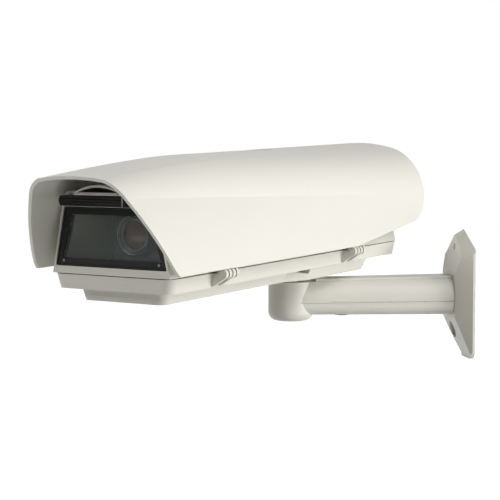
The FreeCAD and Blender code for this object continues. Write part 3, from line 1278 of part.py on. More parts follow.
def focus_barrel():
    """Turning front barrel: knurled rim, stepped bore and the seat of the front lens."""
    depth = LENS_BOX_FRONT + 12.9 - LENS_FRONT
    x0 = LENS_FRONT
    body = rod(LENS_RING_RADIUS, depth, Vector(x0, 0, LENS_HEIGHT), Vector(1, 0, 0))
    front = [edge for edge in body.Edges if edge.BoundBox.XMax < x0 + 0.1]
    body = body.makeFillet(0.8, front)
    steps = ((15.8, 1.6), (14.6, 3.0), (13.6, 4.6))
    for radius, deep in steps:
        body = body.cut(rod(radius, deep + 1, Vector(x0 - 1, 0, LENS_HEIGHT), Vector(1, 0, 0)))
    body = body.cut(rod(LENS_GLASS_RADIUS + 0.05, 6, Vector(x0 + 1, 0, LENS_HEIGHT), Vector(1, 0, 0)))
    for i in range(24):
        angle = math.radians(15 * i)
        notch = rod(0.7, 3.4, Vector(x0 + 2.2, (LENS_RING_RADIUS + 0.35) * math.cos(angle),
                                     LENS_HEIGHT + (LENS_RING_RADIUS + 0.35) * math.sin(angle)), Vector(1, 0, 0))
        body = body.cut(notch)
    return body


def front_lens():
    """Front element: a plano-convex glass, its dome facing the window."""
    back = LENS_FRONT + 7
    rim = 1.6
    dome = 3.0
    radius = (LENS_GLASS_RADIUS ** 2 + dome ** 2) / (2 * dome)
    ball = Part.makeSphere(radius, Vector(back - rim - dome + radius, 0, LENS_HEIGHT))
    drum = rod(LENS_GLASS_RADIUS, rim + dome + 1, Vector(back - rim - dome - 1, 0, LENS_HEIGHT), Vector(1, 0, 0))
    return drum.common(ball)


BRACKET_PARTS = {
    "wall_bracket": wall_bracket,
    "channel_cover": channel_cover,
    "channel_screws": channel_screws,
    "cable_grommet": cable_grommet,
    "clamp_ring": clamp_ring,
    "clamp_screws": clamp_screws,
    "ball_seat": ball_seat,
}

HOUSING_PARTS = {
    "swivel_ball": swivel_ball,
    "flange_screws": flange_screws,
    "lower_shell": lower_shell,
    "body_seal": body_seal,
    "gland_bodies": gland_bodies,
    "gland_nuts": gland_nuts,
    "gland_seals": gland_seals,
    "terminal_board": terminal_board,
    "terminal_blocks": terminal_blocks,
    "board_screws": board_screws,
    "front_heater": front_heater,
    "upper_shell": upper_shell,
    "window_seal": window_seal,
    "window_glass": window_glass,
    "window_frame": window_frame,
    "frame_spacers": frame_spacers,
    "frame_screws": frame_screws,
    "brow_bar": brow_bar,
    "brow_end_block": brow_end_block,
    "brow_clip": brow_clip,
    "brow_strip": brow_strip,
    "vent_insert": vent_insert,
    "sunshield": sunshield,
    "shield_spacers": shield_spacers,
    "shield_screws": shield_screws,
    "closing_screws": closing_screws,
    "camera_slide": camera_slide,
    "slide_clamps": slide_clamps,
    "camera_foot": camera_foot,
    "camera_screw": camera_screw,
    "camera_body": camera_body,
    "lens_housing": lens_housing,
    "focus_barrel": focus_barrel,
    "front_lens": front_lens,
}


def main():
    os.makedirs("parts", exist_ok=True)
    for name, make in BRACKET_PARTS.items():
        on_holes(make()).exportStep("parts/" + name + ".step")
    for name, make in HOUSING_PARTS.items():
        in_row(make()).exportStep("parts/" + name + ".step")
    for name, station in zip(("front_hinge_pin", "rear_hinge_pin"), HINGE_STATIONS):
        in_row(hinge_pin(station)).exportStep("parts/" + name + ".step")


main()
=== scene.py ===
"""Looks of the outdoor camera housing: finishes, small dress pieces, camera and studio."""

import json
import math

import bpy
from mathutils import Matrix, Vector


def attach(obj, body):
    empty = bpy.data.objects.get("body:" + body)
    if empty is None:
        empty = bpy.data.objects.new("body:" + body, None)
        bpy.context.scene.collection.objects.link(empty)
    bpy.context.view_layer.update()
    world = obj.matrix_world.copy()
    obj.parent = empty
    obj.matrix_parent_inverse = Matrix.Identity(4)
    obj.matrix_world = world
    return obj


bl_info = {
    "name": "Camera Housing Dresser",
    "version": (1, 0, 0),
    "blender": (4, 5, 0),
    "location": "View3D > Sidebar > Housing",
    "description": "Gives the outdoor camera housing its finishes, small pieces and studio",
    "category": "Object",
}

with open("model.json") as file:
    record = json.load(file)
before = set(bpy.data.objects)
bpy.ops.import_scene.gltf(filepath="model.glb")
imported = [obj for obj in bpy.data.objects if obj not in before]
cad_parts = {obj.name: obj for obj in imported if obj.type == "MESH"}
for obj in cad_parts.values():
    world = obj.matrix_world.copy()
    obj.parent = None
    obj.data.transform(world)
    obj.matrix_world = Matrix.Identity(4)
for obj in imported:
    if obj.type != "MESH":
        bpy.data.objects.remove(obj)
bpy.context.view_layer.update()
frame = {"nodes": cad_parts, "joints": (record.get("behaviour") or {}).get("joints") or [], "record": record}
MM = 0.001

# Housing frame, read from the joints: x to the rear, y to the far side, z up from the closing seam.
JOINT = {joint["name"]: joint for joint in frame["joints"]}
REARWARD = Vector(JOINT["cover_hinge"]["axis"]).normalized()
FARWARD = Vector(JOINT["tilt"]["axis"]).normalized()
UPWARD = REARWARD.cross(FARWARD).normalized()
BALL_IN_HOUSING = Vector((291.0, 0.0, -48.0)) * MM
TURN = Matrix((REARWARD, FARWARD, UPWARD)).transposed()
HOUSING = Matrix.Translation(Vector(JOINT["tilt"]["pos_m"]) - TURN @ BALL_IN_HOUSING) @ TURN.to_4x4()

# Window opening of the cover, as the solids have it (millimetres in the housing frame).
WINDOW_BOTTOM, WINDOW_TOP = 7.5, 61.2
WINDOW_HALF_BOTTOM, WINDOW_HALF_TOP = 63.5, 51.5
WINDOW_CORNER = 1.6
SEAL_FACE = 1.5
SEAL_SINK = 0.2

# Front bar, lens and terminal board, as the solids have them (millimetres in the housing frame).
BAR_BOTTOM, BAR_TOP = 62.8, 72.0
BAR_FACE = -12.5
BAR_SPLIT = 26.0
BAR_HALF_LENGTH = 47.0
LENS_HEIGHT = 34.0
LENS_FRONT = 33.0
BOARD_TOP = -2.4
TERMINAL_LINE = 326.0
TERMINAL_ROWS = ((-37.5, 6), (14.5, 4))
TERMINAL_PITCH = 5.0
TERMINAL_SCREW_RISE = 8.6
TERMINAL_SCREW_HEAD = 1.6
CLIP_WIDTH = 1.8
STUD_MARGIN = 2.2
CORNER_SCREW_OFFSET = 54.3
CORNER_SCREW_HEIGHT = 12.3
CORNER_SCREW_HEAD = 1.0
LENS_STEPS = ((17.4, 0.1), (15.8, 0.2), (14.6, 1.6), (13.6, 3.0))
TRIM_FACE = -14.0
TRIM_HEIGHT = 73.3
TRIM_HALF_LENGTH = 27.0

# Arm of the bracket, in millimetres of the row frame.
ARM_FROM, ARM_TO = -180.0, -17.0
ARM_PARTING_HALF_WIDTH = 22.0
ARM_PARTING_HEIGHT = -11.0
ARM_PARTING_WIDENING = 0.5
BEAD_STATIONS = 22
PIP_SHARE = 0.35
PIP_SEED = 7

# Slot of a screw head, as shares of its radius and of its height.
SLOT_WIDTH_SHARE = 0.3
SLOT_LENGTH_SHARE = 2.2
SLOT_LIFT_SHARE = 0.6

# Studio, in metres of the row frame.
FLOOR_HEIGHT = -0.42
FLOOR_HALF = 6.0
FLOOR_GLOW_FROM, FLOOR_GLOW_TO = 0.2, 0.8
BACKDROP_FROM, BACKDROP_TO = 0.72, 0.88
KEY_PLACE = (2.02, -1.36, 0.28)
UPPER_PLACE = (1.07, -1.90, 1.35)
FILL_PLACE = (-2.34, -0.83, 1.35)
ARM_PLACE = (0.1, -0.85, 0.8)
HOUSING_AIM = (-0.22, -0.06, 0.05)
ARM_AIM = (-0.05, 0.0, 0.0)
SOFTBOX_SIZE = 1.0
ARM_SOFTBOX_SIZE = 0.35
SENSOR_WIDTH = 36.0


def hex_to_linear(code):
    """sRGB hex colour as a linear RGBA value."""
    channels = [int(code[i:i + 2], 16) / 255 for i in (1, 3, 5)]
    linear = [c / 12.92 if c <= 0.04045 else ((c + 0.055) / 1.055) ** 2.4 for c in channels]
    return (*linear, 1.0)


def add_node(tree, kind, links=(), **settings):
    """Adds a node, sets its properties, then fills or links each named or numbered input."""
    node = tree.nodes.new(kind)
    for name, value in settings.items():
        setattr(node, name, value)
    for socket, value in links:
        if isinstance(value, bpy.types.NodeSocket):
            tree.links.new(value, node.inputs[socket])
        else:
            node.inputs[socket].default_value = value
    return node


def colour_property(name, description, code):
    return bpy.props.FloatVectorProperty(name=name, description=description, subtype="COLOR", size=4,
                                         min=0.0, max=1.0, default=hex_to_linear(code))


def length_property(name, description, millimetres):
    return bpy.props.FloatProperty(name=name, description=description, subtype="DISTANCE", unit="LENGTH",
                                   min=0.0, default=millimetres * MM)


def power_property(name, description, watts):
    return bpy.props.FloatProperty(name=name, description=description, subtype="POWER", unit="POWER",
                                   default=watts, min=0.0)


class HousingFinishSettings(bpy.types.PropertyGroup):
    """Colours of the painted, moulded and rubber finishes."""
    bracket: colour_property("Bracket Paint", "Powder coat of the cast wall bracket", "#D2D0C6")
    shells: colour_property("Shell Paint", "Powder coat of the two die-cast shells", "#DAD8CE")
    shield: colour_property("Sunshield", "Moulded plastic of the sunshield", "#E2E0D7")
    black: colour_property("Black Nylon", "Glass-filled nylon of the bar and glands", "#131312")
    rubber: colour_property("Rubber", "Sealing rubber", "#191918")
    camera: colour_property("Camera Paint", "Dark enamel of the camera and lens box", "#3E4342")
    # Painted haze: the pale veil colour is the glass's faint green tint, lightened to add light over the dim
    # inside.
    glass: colour_property("Window Tint and Painted Haze", "Veil that the window glass shows", "#98A19D")
    # Partly painted reflection: the lens's pink-brown colour stands in for light reflected off its coated
    # face.
    lens_tint_and_reflection: colour_property("Lens Tint and Painted Reflection", "Tint that the coated front lens shows", "#8A5A55")


class HousingPieceSettings(bpy.types.PropertyGroup):
    """Sizes of the small pieces that dress the housing."""
    bead_radius: length_property("Bead Radius", "Half thickness of the glazing bead's lip", 0.75)
    bead_inset: length_property("Bead Inset", "How far the bead lies inside the opening", 1.0)
    stud_pitch: length_property("Grip Pitch", "Spacing of the studs on the bar's end block", 2.2)
    stud_radius: length_property("Grip Radius", "Radius of one stud on the bar's end block", 0.62)
    trim_radius: length_property("Trim Radius", "Radius of the bright trim line over the bar", 0.6)
    terminal_radius: length_property("Terminal Screw Radius", "Radius of the clamp screws' heads", 1.4)
    lens_ring_radius: length_property("Lens Ring Radius", "Half thickness of the rings in the lens's mouth",
                                      0.28)
    corner_screw_radius: length_property("Corner Screw Radius", "Radius of the window's corner screws", 1.3)
    flash_radius: length_property("Flash Radius", "Radius of the casting's parting bead along the arm", 0.7)
    flash_pip: length_property("Flash Pip", "Radius of the ejector pips on the parting bead", 1.1)


class HousingStudioSettings(bpy.types.PropertyGroup):
    """Camera and lights."""
    focal_length: bpy.props.FloatProperty(name="Focal Length", description="Lens of the studio camera in mm",
                                          subtype="DISTANCE_CAMERA", default=109.75, min=10.0)
    camera_place: bpy.props.FloatVectorProperty(name="Camera Place", description="Where the camera stands",
                                                subtype="TRANSLATION", unit="LENGTH", size=3,
                                                default=(-0.4764, -1.5546, 0.1532))
    camera_pitch: bpy.props.FloatProperty(name="Pitch", description="How far the camera looks down",
                                          subtype="ANGLE", unit="ROTATION", default=math.radians(4.02))
    camera_yaw: bpy.props.FloatProperty(name="Yaw", description="Camera's turn from the +Y axis towards +X",
                                        subtype="ANGLE", unit="ROTATION", default=math.radians(9.047))
    key_power: power_property("Key Power", "Power of the large key light in watts", 39.0)
    upper_power: power_property("Upper Power", "Power of the light above the arm in watts", 26.0)
    fill_power: power_property("Fill Power", "Power of the fill light in watts", 24.0)
    arm_power: power_property("Arm Power", "Power of the small light over the arm in watts", 1.6)
    room_low: bpy.props.FloatProperty(name="Room Low", description="Light from the room at eye level",
                                      default=0.03, min=0.0)
    room_high: bpy.props.FloatProperty(name="Room High", description="Light from the room's ceiling",
                                       default=0.05, min=0.0)


# Finishes

def principled(name, colour, roughness, metallic=0.0, ior=1.5, coat=0.0, alpha=1.0):
    """New material with a Principled shader set to one finish."""
    material = bpy.data.materials.new(name)
    material.use_nodes = True
    tree = material.node_tree
    shader = tree.nodes["Principled BSDF"]
    for socket, value in (("Base Color", colour), ("Roughness", roughness), ("Metallic", metallic),
                          ("IOR", ior), ("Coat Weight", coat), ("Alpha", alpha)):
        shader.inputs[socket].default_value = value
    return material, tree, shader


def grain(tree, shader, size_mm, depth_mm, detail=2.0, stretch=(1.0, 1.0, 1.0)):
    """Bump from a noise whose spots have a real size, on Object coordinates."""
    place = add_node(tree, "ShaderNodeTexCoord")
    mapping = add_node(tree, "ShaderNodeMapping", (("Vector", place.outputs["Object"]), ("Scale", stretch)))
    noise = add_node(tree, "ShaderNodeTexNoise", (("Vector", mapping.outputs["Vector"]),
                                                  ("Scale", 1.0 / (size_mm * MM)), ("Detail", detail)))
    bump = add_node(tree, "ShaderNodeBump", (("Height", noise.outputs["Fac"]), ("Distance", depth_mm * MM),
                                             ("Strength", 1.0)))
    tree.links.new(bump.outputs["Normal"], shader.inputs["Normal"])
    return noise


def mottle(tree, shader, colour, size_mm, amount):
    """Slow change of tone over a surface, darker by the given share at most."""
    place = add_node(tree, "ShaderNodeTexCoord")
    noise = add_node(tree, "ShaderNodeTexNoise", (("Vector", place.outputs["Object"]),
                                                  ("Scale", 1.0 / (size_mm * MM)), ("Detail", 3.0)))
    darker = [c * (1 - amount) for c in colour[:3]] + [1.0]
    mix = add_node(tree, "ShaderNodeMix", ((0, noise.outputs["Fac"]), (6, tuple(colour)), (7, darker)),
                   data_type="RGBA")
    tree.links.new(mix.outputs[2], shader.inputs["Base Color"])


def powder_coat(name, colour):
    """Powder coat on cast aluminium, sprayed and baked: satin, with a fine orange peel of 2 mm spots."""
    material, tree, shader = principled(name, colour, roughness=0.42, ior=1.5)
    grain(tree, shader, size_mm=2.0, depth_mm=0.012)
    mottle(tree, shader, colour, size_mm=60, amount=0.05)
    return material


def moulded_asa(name, colour):
    """ASA plastic, injection moulded in an eroded mould: smooth satin with 0.9 mm spark texture."""
    material, tree, shader = principled(name, colour, roughness=0.38, ior=1.52)
    grain(tree, shader, size_mm=0.9, depth_mm=0.004)
    mottle(tree, shader, colour, size_mm=90, amount=0.03)
    return material


def black_nylon(name, colour):
    """Glass-filled nylon, moulded: near black, slightly glossy on its edges."""
    material, tree, shader = principled(name, colour, roughness=0.36, ior=1.53)
    grain(tree, shader, size_mm=0.7, depth_mm=0.01)
    return material


def natural_nylon(name, colour):
    """Unfilled nylon, turned: milky cream with faint turning marks."""
    material, tree, shader = principled(name, colour, roughness=0.45, ior=1.53)
    grain(tree, shader, size_mm=0.8, depth_mm=0.006, stretch=(0.2, 0.2, 1.0))
    return material


def sealing_rubber(name, colour):
    """EPDM rubber, extruded and moulded: dull black with a soft bloom."""
    material, tree, shader = principled(name, colour, roughness=0.72, ior=1.52)
    mottle(tree, shader, colour, size_mm=12, amount=0.25)
    return material


def zinc_plated_steel(name, colour):
    """Zinc-plated steel, bright: a cool metal with fine drawn lines."""
    material, tree, shader = principled(name, colour, roughness=0.28, metallic=1.0)
    grain(tree, shader, size_mm=0.5, depth_mm=0.004, stretch=(1.0, 1.0, 0.1))
    return material


def anodised_aluminium(name, colour):
    """Anodised aluminium sheet, brushed before anodising: pale grey metal with lines along the sheet."""
    material, tree, shader = principled(name, colour, roughness=0.34, metallic=1.0)
    grain(tree, shader, size_mm=0.6, depth_mm=0.004, stretch=(0.1, 1.0, 1.0))
    return material


def camera_enamel(name, colour):
    """Stoving enamel on folded sheet: very dark grey with a low sheen."""
    material, tree, shader = principled(name, colour, roughness=0.48, ior=1.5)
    grain(tree, shader, size_mm=0.8, depth_mm=0.01)
    return material


def board_laminate(name, colour):
    """Glass-epoxy laminate with green solder mask: glossy, with a faint weave of 0.8 mm."""
    material, tree, shader = principled(name, colour, roughness=0.25, ior=1.55)
    grain(tree, shader, size_mm=0.8, depth_mm=0.005)
    return material


def float_glass(name, colour, alpha):
    """Polished glass: clear with a faint body tint, seen as a thin veil of its colour with sharp reflections;
    a pale colour makes the veil a painted haze of reflected light.
    """
    material, _, _ = principled(name, colour, roughness=0.02, ior=1.52, alpha=alpha)
    return material


def coated_lens(name, colour):
    """Polished optical glass, antireflection-coated: its dark pink-brown base colour is partly the coated
    glass's own tint and partly a painted reflection of light.
    """
    material, _, _ = principled(name, colour, roughness=0.05, ior=1.6, coat=1.0)
    return material


def make_finishes(settings):
    """One material for each slot of the record."""
    return {
        "bracket_paint": powder_coat("powder_coated_bracket_casting", settings.bracket),
        "housing_paint": powder_coat("powder_coated_shell_casting", settings.shells),
        "shield_plastic": moulded_asa("moulded_asa_sunshield", settings.shield),
        "black_plastic": black_nylon("black_glass_filled_nylon", settings.black),
        "nylon": natural_nylon("turned_natural_nylon", hex_to_linear("#DDD8C8")),
        "zinc_steel": zinc_plated_steel("bright_zinc_plated_steel", hex_to_linear("#C9CACB")),
        "bright_metal": zinc_plated_steel("polished_aluminium_band", hex_to_linear("#E6E6E4")),
        "sheet_aluminium": anodised_aluminium("brushed_anodised_aluminium", hex_to_linear("#B9BBBB")),
        "seal_rubber": sealing_rubber("epdm_sealing_rubber", settings.rubber),
        # The window's pale veil is partly the glass's own tint and partly a painted haze of reflected light.
        "window_glass": float_glass("float_glass_window", settings.glass, 0.14),
        # The lens colour is partly the coated glass's tint and partly a painted reflection of light.
        "lens_glass": coated_lens("coated_optical_glass", settings.lens_tint_and_reflection),
        "camera_paint": camera_enamel("dark_stoved_enamel", settings.camera),
        "board": board_laminate("glass_epoxy_board", hex_to_linear("#1E5A35")),
        "terminal_plastic": black_nylon("grey_terminal_nylon", hex_to_linear("#5E7A74")),
    }


def finish_named(name):
    return bpy.data.materials[name]


# Geometry Nodes helpers

def new_tree(name, sizes):
    """Geometry node tree with a geometry input and one float input for each named size."""
    tree = bpy.data.node_groups.new(name, "GeometryNodeTree")
    tree.interface.new_socket("Geometry", in_out="INPUT", socket_type="NodeSocketGeometry")
    for size in sizes:
        tree.interface.new_socket(size, in_out="INPUT", socket_type="NodeSocketFloat")
    tree.interface.new_socket("Geometry", in_out="OUTPUT", socket_type="NodeSocketGeometry")
    return tree, add_node(tree, "NodeGroupInput")


def end_tree(tree, geometry, material):
    """Realises the instances, gives them their material and joins the output."""
    real = add_node(tree, "GeometryNodeRealizeInstances", ((0, geometry),))
    painted = add_node(tree, "GeometryNodeSetMaterial", ((0, real.outputs[0]), ("Material", material)))
    add_node(tree, "NodeGroupOutput", ((0, painted.outputs[0]),))


def mesh_object(name, vertices, edges=(), faces=()):
    mesh = bpy.data.meshes.new(name)
    mesh.from_pydata([tuple(v) for v in vertices], list(edges), list(faces))
    obj = bpy.data.objects.new(name, mesh)
    bpy.context.scene.collection.objects.link(obj)
    return obj


def baked(seed, tree, values, name, body):
    """Runs a tree on its seed object and keeps the result as a plain mesh that rides on a body."""
    modifier = seed.modifiers.new(name, "NODES")
    modifier.node_group = tree
    sockets = {item.name: item.identifier for item in tree.interface.items_tree if item.in_out == "INPUT"}
    for size, value in values.items():
        modifier[sockets[size]] = value
    depsgraph = bpy.context.evaluated_depsgraph_get()
    mesh = bpy.data.meshes.new_from_object(seed.evaluated_get(depsgraph), depsgraph=depsgraph)
    bpy.data.objects.remove(seed)
    piece = bpy.data.objects.new(name, mesh)
    bpy.context.scene.collection.objects.link(piece)
    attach(piece, body)
    return piece


def in_row(points):
    """Points given in millimetres of the housing frame, as metres of the row frame."""
    return [HOUSING @ (Vector(point) * MM) for point in points]


def window_path(inset, depth, per_corner=6):
    """Rounded trapezium inside the window opening, as a closed loop of points."""
    corners = [(-WINDOW_HALF_BOTTOM + inset, WINDOW_BOTTOM + inset),
               (WINDOW_HALF_BOTTOM - inset, WINDOW_BOTTOM + inset),
               (WINDOW_HALF_TOP - inset, WINDOW_TOP - inset),
               (-WINDOW_HALF_TOP + inset, WINDOW_TOP - inset)]
    radius = WINDOW_CORNER - inset
    path = []
    for i, corner in enumerate(corners):
        here = Vector(corner)
        before = (Vector(corners[i - 1]) - here).normalized()
        after = (Vector(corners[(i + 1) % 4]) - here).normalized()
        half = before.angle(after) / 2
        centre = here + (before + after).normalized() * (radius / math.sin(half))
        start = here + before * (radius / math.tan(half)) - centre
        end = here + after * (radius / math.tan(half)) - centre
        sweep = start.angle(end)
        for k in range(per_corner + 1):
            share = k / per_corner
            turned = start * math.sin((1 - share) * sweep) + end * math.sin(share * sweep)
            point = centre + turned / math.sin(sweep)
            path.append((depth, point.x, point.y))
    return path


def sweep_tree(name, resolution=10, more_sizes=()):
    """Tree that lays a round cord of the given radius along its seed's edges."""
    tree, given = new_tree(name, ("Radius", *more_sizes))
    curve = add_node(tree, "GeometryNodeMeshToCurve", ((0, given.outputs["Geometry"]),))
    profile = add_node(tree, "GeometryNodeCurvePrimitiveCircle", (("Resolution", resolution),
                                                                  ("Radius", given.outputs["Radius"])))
    cord = add_node(tree, "GeometryNodeCurveToMesh", ((0, curve.outputs[0]), (1, profile.outputs[0]),
                                                      ("Fill Caps", True)))
    smooth = add_node(tree, "GeometryNodeSetShadeSmooth", ((0, cord.outputs[0]),))
    return tree, given, smooth.outputs[0]


def swept(name, loops, radius, body, material, closed=True):
    """Round cord of one radius along one or more loops or lines of points."""
    points, edges = [], []
    for loop in loops:
        first = len(points)
        points += loop
        edges += [(first + i, first + i + 1) for i in range(len(loop) - 1)]
        if closed:
            edges.append((len(points) - 1, first))
    tree, _, geometry = sweep_tree(name)
    end_tree(tree, geometry, finish_named(material))
    return baked(mesh_object(name + "_path", points, edges=edges), tree, {"Radius": radius}, name, body)


class HOUSING_OT_finishes(bpy.types.Operator):
    """Give every solid of the part its finish"""
    bl_idname = "housing.finishes"
    bl_label = "Finish the Solids"

    def execute(self, context):
        finishes = make_finishes(context.scene.housing_finish)
        for subpart in frame["record"]["subparts"]:
            solid = frame["nodes"][subpart["node"]]
            for slot in solid.material_slots:
                slot.material = finishes[subpart["material_slot"]]
        return {"FINISHED"}


class HOUSING_OT_glazing_bead(bpy.types.Operator):
    """Lay the rubber bead's rounded lip along the window's edge"""
    bl_idname = "housing.glazing_bead"
    bl_label = "Glazing Bead"

    def execute(self, context):
        sizes = context.scene.housing_pieces
        path = in_row(window_path(sizes.bead_inset / MM, SEAL_FACE - SEAL_SINK))
        swept("glazing_bead", [path], sizes.bead_radius, "cover", "epdm_sealing_rubber")
        return {"FINISHED"}


class HOUSING_OT_grip_studs(bpy.types.Operator):
    """Cover the front of the bar's end block with rows of small studs"""
    bl_idname = "housing.grip_studs"
    bl_label = "Grip Studs"

    def execute(self, context):
        sizes = context.scene.housing_pieces
        length = BAR_HALF_LENGTH - BAR_SPLIT - CLIP_WIDTH - 2 * STUD_MARGIN
        height = BAR_TOP - BAR_BOTTOM - 2 * STUD_MARGIN
        middle = -BAR_SPLIT - CLIP_WIDTH - STUD_MARGIN - length / 2
        seed = mesh_object("stud_ground", in_row([(BAR_FACE, middle, (BAR_TOP + BAR_BOTTOM) / 2)]))
        tree, given = new_tree("grip_studs", ("Length", "Height", "Pitch", "Radius"))
        counts = [add_node(tree, "ShaderNodeMath", ((0, given.outputs[size]), (1, given.outputs["Pitch"])),
                           operation="DIVIDE") for size in ("Length", "Height")]
        grid = add_node(tree, "GeometryNodeMeshGrid", (("Size X", given.outputs["Length"]),
                                                       ("Size Y", given.outputs["Height"]),
                                                       ("Vertices X", counts[0].outputs[0]),
                                                       ("Vertices Y", counts[1].outputs[0])))
        stud = add_node(tree, "GeometryNodeMeshUVSphere", (("Segments", 8), ("Rings", 6),
                                                           ("Radius", given.outputs["Radius"])))
        studs = add_node(tree, "GeometryNodeInstanceOnPoints", (("Points", grid.outputs[0]),
                                                                ("Instance", stud.outputs[0])))
        placed = add_node(tree, "GeometryNodeInstanceOnPoints", (("Points", given.outputs["Geometry"]),
                                                                 ("Instance", studs.outputs[0]),
                                                                 ("Rotation", face_rotation())))
        end_tree(tree, placed.outputs[0], finish_named("black_glass_filled_nylon"))
        values = {"Length": length * MM, "Height": height * MM, "Pitch": sizes.stud_pitch,
                  "Radius": sizes.stud_radius}
        baked(seed, tree, values, "grip_studs", "cover")
        return {"FINISHED"}


def face_rotation():
    """Turn that lays a flat XY pattern on a face that looks forward along the housing."""
    return Matrix((FARWARD, UPWARD, REARWARD)).transposed().to_euler()


def screw_tree(name):
    """Tree that puts a slotted round screw head on each point, its axis along the seed's local Z."""
    tree, given = new_tree(name, ("Radius", "Height"))
    head = add_node(tree, "GeometryNodeMeshCylinder", (("Vertices", 24), ("Radius", given.outputs["Radius"]),
                                                       ("Depth", given.outputs["Height"])))
    slot_width, slot_length = [
        add_node(tree, "ShaderNodeMath", ((0, given.outputs["Radius"]), (1, share)), operation="MULTIPLY")
        for share in (SLOT_WIDTH_SHARE, SLOT_LENGTH_SHARE)]
    size = add_node(tree, "ShaderNodeCombineXYZ", ((0, slot_length.outputs[0]), (1, slot_width.outputs[0]),
                                                   (2, given.outputs["Height"])))
    lift = add_node(tree, "ShaderNodeCombineXYZ", ((2, given.outputs["Height"]),))
    half = add_node(tree, "ShaderNodeVectorMath", ((0, lift.outputs[0]), (1, (SLOT_LIFT_SHARE,) * 3)),
                    operation="MULTIPLY")
    block = add_node(tree, "GeometryNodeMeshCube", (("Size", size.outputs[0]),))
    raised = add_node(tree, "GeometryNodeTransform", ((0, block.outputs[0]),
                                                      ("Translation", half.outputs[0])))
    slotted = add_node(tree, "GeometryNodeMeshBoolean", ((0, head.outputs[0]), (1, raised.outputs[0])),
                       operation="DIFFERENCE")
    return tree, given, slotted.outputs[0]


def screws(name, places, radius, height, rotation, body):
    """Slotted heads on the given points of the housing frame."""
    tree, given, head = screw_tree(name)
    placed = add_node(tree, "GeometryNodeInstanceOnPoints", (("Points", given.outputs["Geometry"]),
                                                             ("Instance", head), ("Rotation", rotation)))
    end_tree(tree, placed.outputs[0], finish_named("bright_zinc_plated_steel"))
    seed = mesh_object(name + "_places", in_row(places))
    return baked(seed, tree, {"Radius": radius, "Height": height}, name, body)


class HOUSING_OT_corner_screws(bpy.types.Operator):
    """Set the two small bright screws in the lower corners of the window's band"""
    bl_idname = "housing.corner_screws"
    bl_label = "Corner Screws"

    def execute(self, context):
        sizes = context.scene.housing_pieces
        places = [(SEAL_FACE - SEAL_SINK, side * CORNER_SCREW_OFFSET, CORNER_SCREW_HEIGHT)
                  for side in (-1, 1)]
        screws("corner_screws", places, sizes.corner_screw_radius, CORNER_SCREW_HEAD * MM, face_rotation(),
               "cover")
        return {"FINISHED"}


class HOUSING_OT_terminal_screws(bpy.types.Operator):
    """Sink a clamp screw into every well of the terminal blocks"""
    bl_idname = "housing.terminal_screws"
    bl_label = "Terminal Screws"

    def execute(self, context):
        sizes = context.scene.housing_pieces
        height = BOARD_TOP + TERMINAL_SCREW_RISE
        places = [(TERMINAL_LINE, start + TERMINAL_PITCH * i, height)
                  for start, count in TERMINAL_ROWS for i in range(count)]
        upright = Matrix((REARWARD, FARWARD, UPWARD)).transposed().to_euler()
        screws("terminal_screws", places, sizes.terminal_radius, TERMINAL_SCREW_HEAD * MM, upright, "housing")
        return {"FINISHED"}


def ring_points(x, radius, count=64):
    turn = 2 * math.pi / count
    return in_row([(x, radius * math.cos(turn * i), LENS_HEIGHT + radius * math.sin(turn * i))
                   for i in range(count)])


class HOUSING_OT_lens_rings(bpy.types.Operator):
    """Ring the stepped mouth of the lens with its fine turned edges"""
    bl_idname = "housing.lens_rings"
    bl_label = "Lens Rings"

    def execute(self, context):
        sizes = context.scene.housing_pieces
        rings = [ring_points(LENS_FRONT + depth, radius) for radius, depth in LENS_STEPS]
        swept("lens_rings", rings, sizes.lens_ring_radius, "focus", "bright_zinc_plated_steel")
        return {"FINISHED"}


class HOUSING_OT_brow_trim(bpy.types.Operator):
    """Draw the bright trim line over the black bar"""
    bl_idname = "housing.brow_trim"
    bl_label = "Brow Trim"

    def execute(self, context):
        sizes = context.scene.housing_pieces
        line = in_row([(TRIM_FACE, y, TRIM_HEIGHT) for y in (-TRIM_HALF_LENGTH, 0.0, TRIM_HALF_LENGTH)])
        swept("brow_trim", [line], sizes.trim_radius, "cover", "polished_aluminium_band",
              closed=False)
        return {"FINISHED"}


class HOUSING_OT_parting_bead(bpy.types.Operator):
    """Run the casting's parting bead with its pips along both flanks of the arm"""
    bl_idname = "housing.parting_bead"
    bl_label = "Parting Bead"

    def execute(self, context):
        sizes = context.scene.housing_pieces
        points, edges = [], []
        for side in (-1, 1):
            first = len(points)
            for i in range(BEAD_STATIONS + 1):
                share = i / BEAD_STATIONS
                station = ARM_FROM + (ARM_TO - ARM_FROM) * share
                points.append((MM * station, side * MM * arm_half_width(share), MM * ARM_PARTING_HEIGHT))
            edges += [(first + i, first + i + 1) for i in range(BEAD_STATIONS)]
        tree, given, bead = sweep_tree("parting_bead", resolution=8, more_sizes=("Pip",))
        pip = add_node(tree, "GeometryNodeMeshUVSphere", (("Segments", 10), ("Rings", 6),
                                                          ("Radius", given.outputs["Pip"])))
        chance = add_node(tree, "FunctionNodeRandomValue", (("Probability", PIP_SHARE), ("Seed", PIP_SEED)),
                          data_type="BOOLEAN")
        pips = add_node(tree, "GeometryNodeInstanceOnPoints", (("Points", given.outputs["Geometry"]),
                                                               ("Selection", chance.outputs[3]),
                                                               ("Instance", pip.outputs[0])))
        joined = add_node(tree, "GeometryNodeJoinGeometry", ((0, bead),))
        tree.links.new(pips.outputs[0], joined.inputs[0])
        smooth = add_node(tree, "GeometryNodeSetShadeSmooth", ((0, joined.outputs[0]),))
        end_tree(tree, smooth.outputs[0], finish_named("powder_coated_bracket_casting"))
        values = {"Radius": sizes.flash_radius, "Pip": sizes.flash_pip}
        seed = mesh_object("parting_path", points, edges=edges)
        baked(seed, tree, values, "parting_bead", "bracket")
        return {"FINISHED"}


def arm_half_width(share):
    """Half width of the arm at its parting line, a share of the way from the boss to the plate."""
    return ARM_PARTING_HALF_WIDTH + ARM_PARTING_WIDENING * share


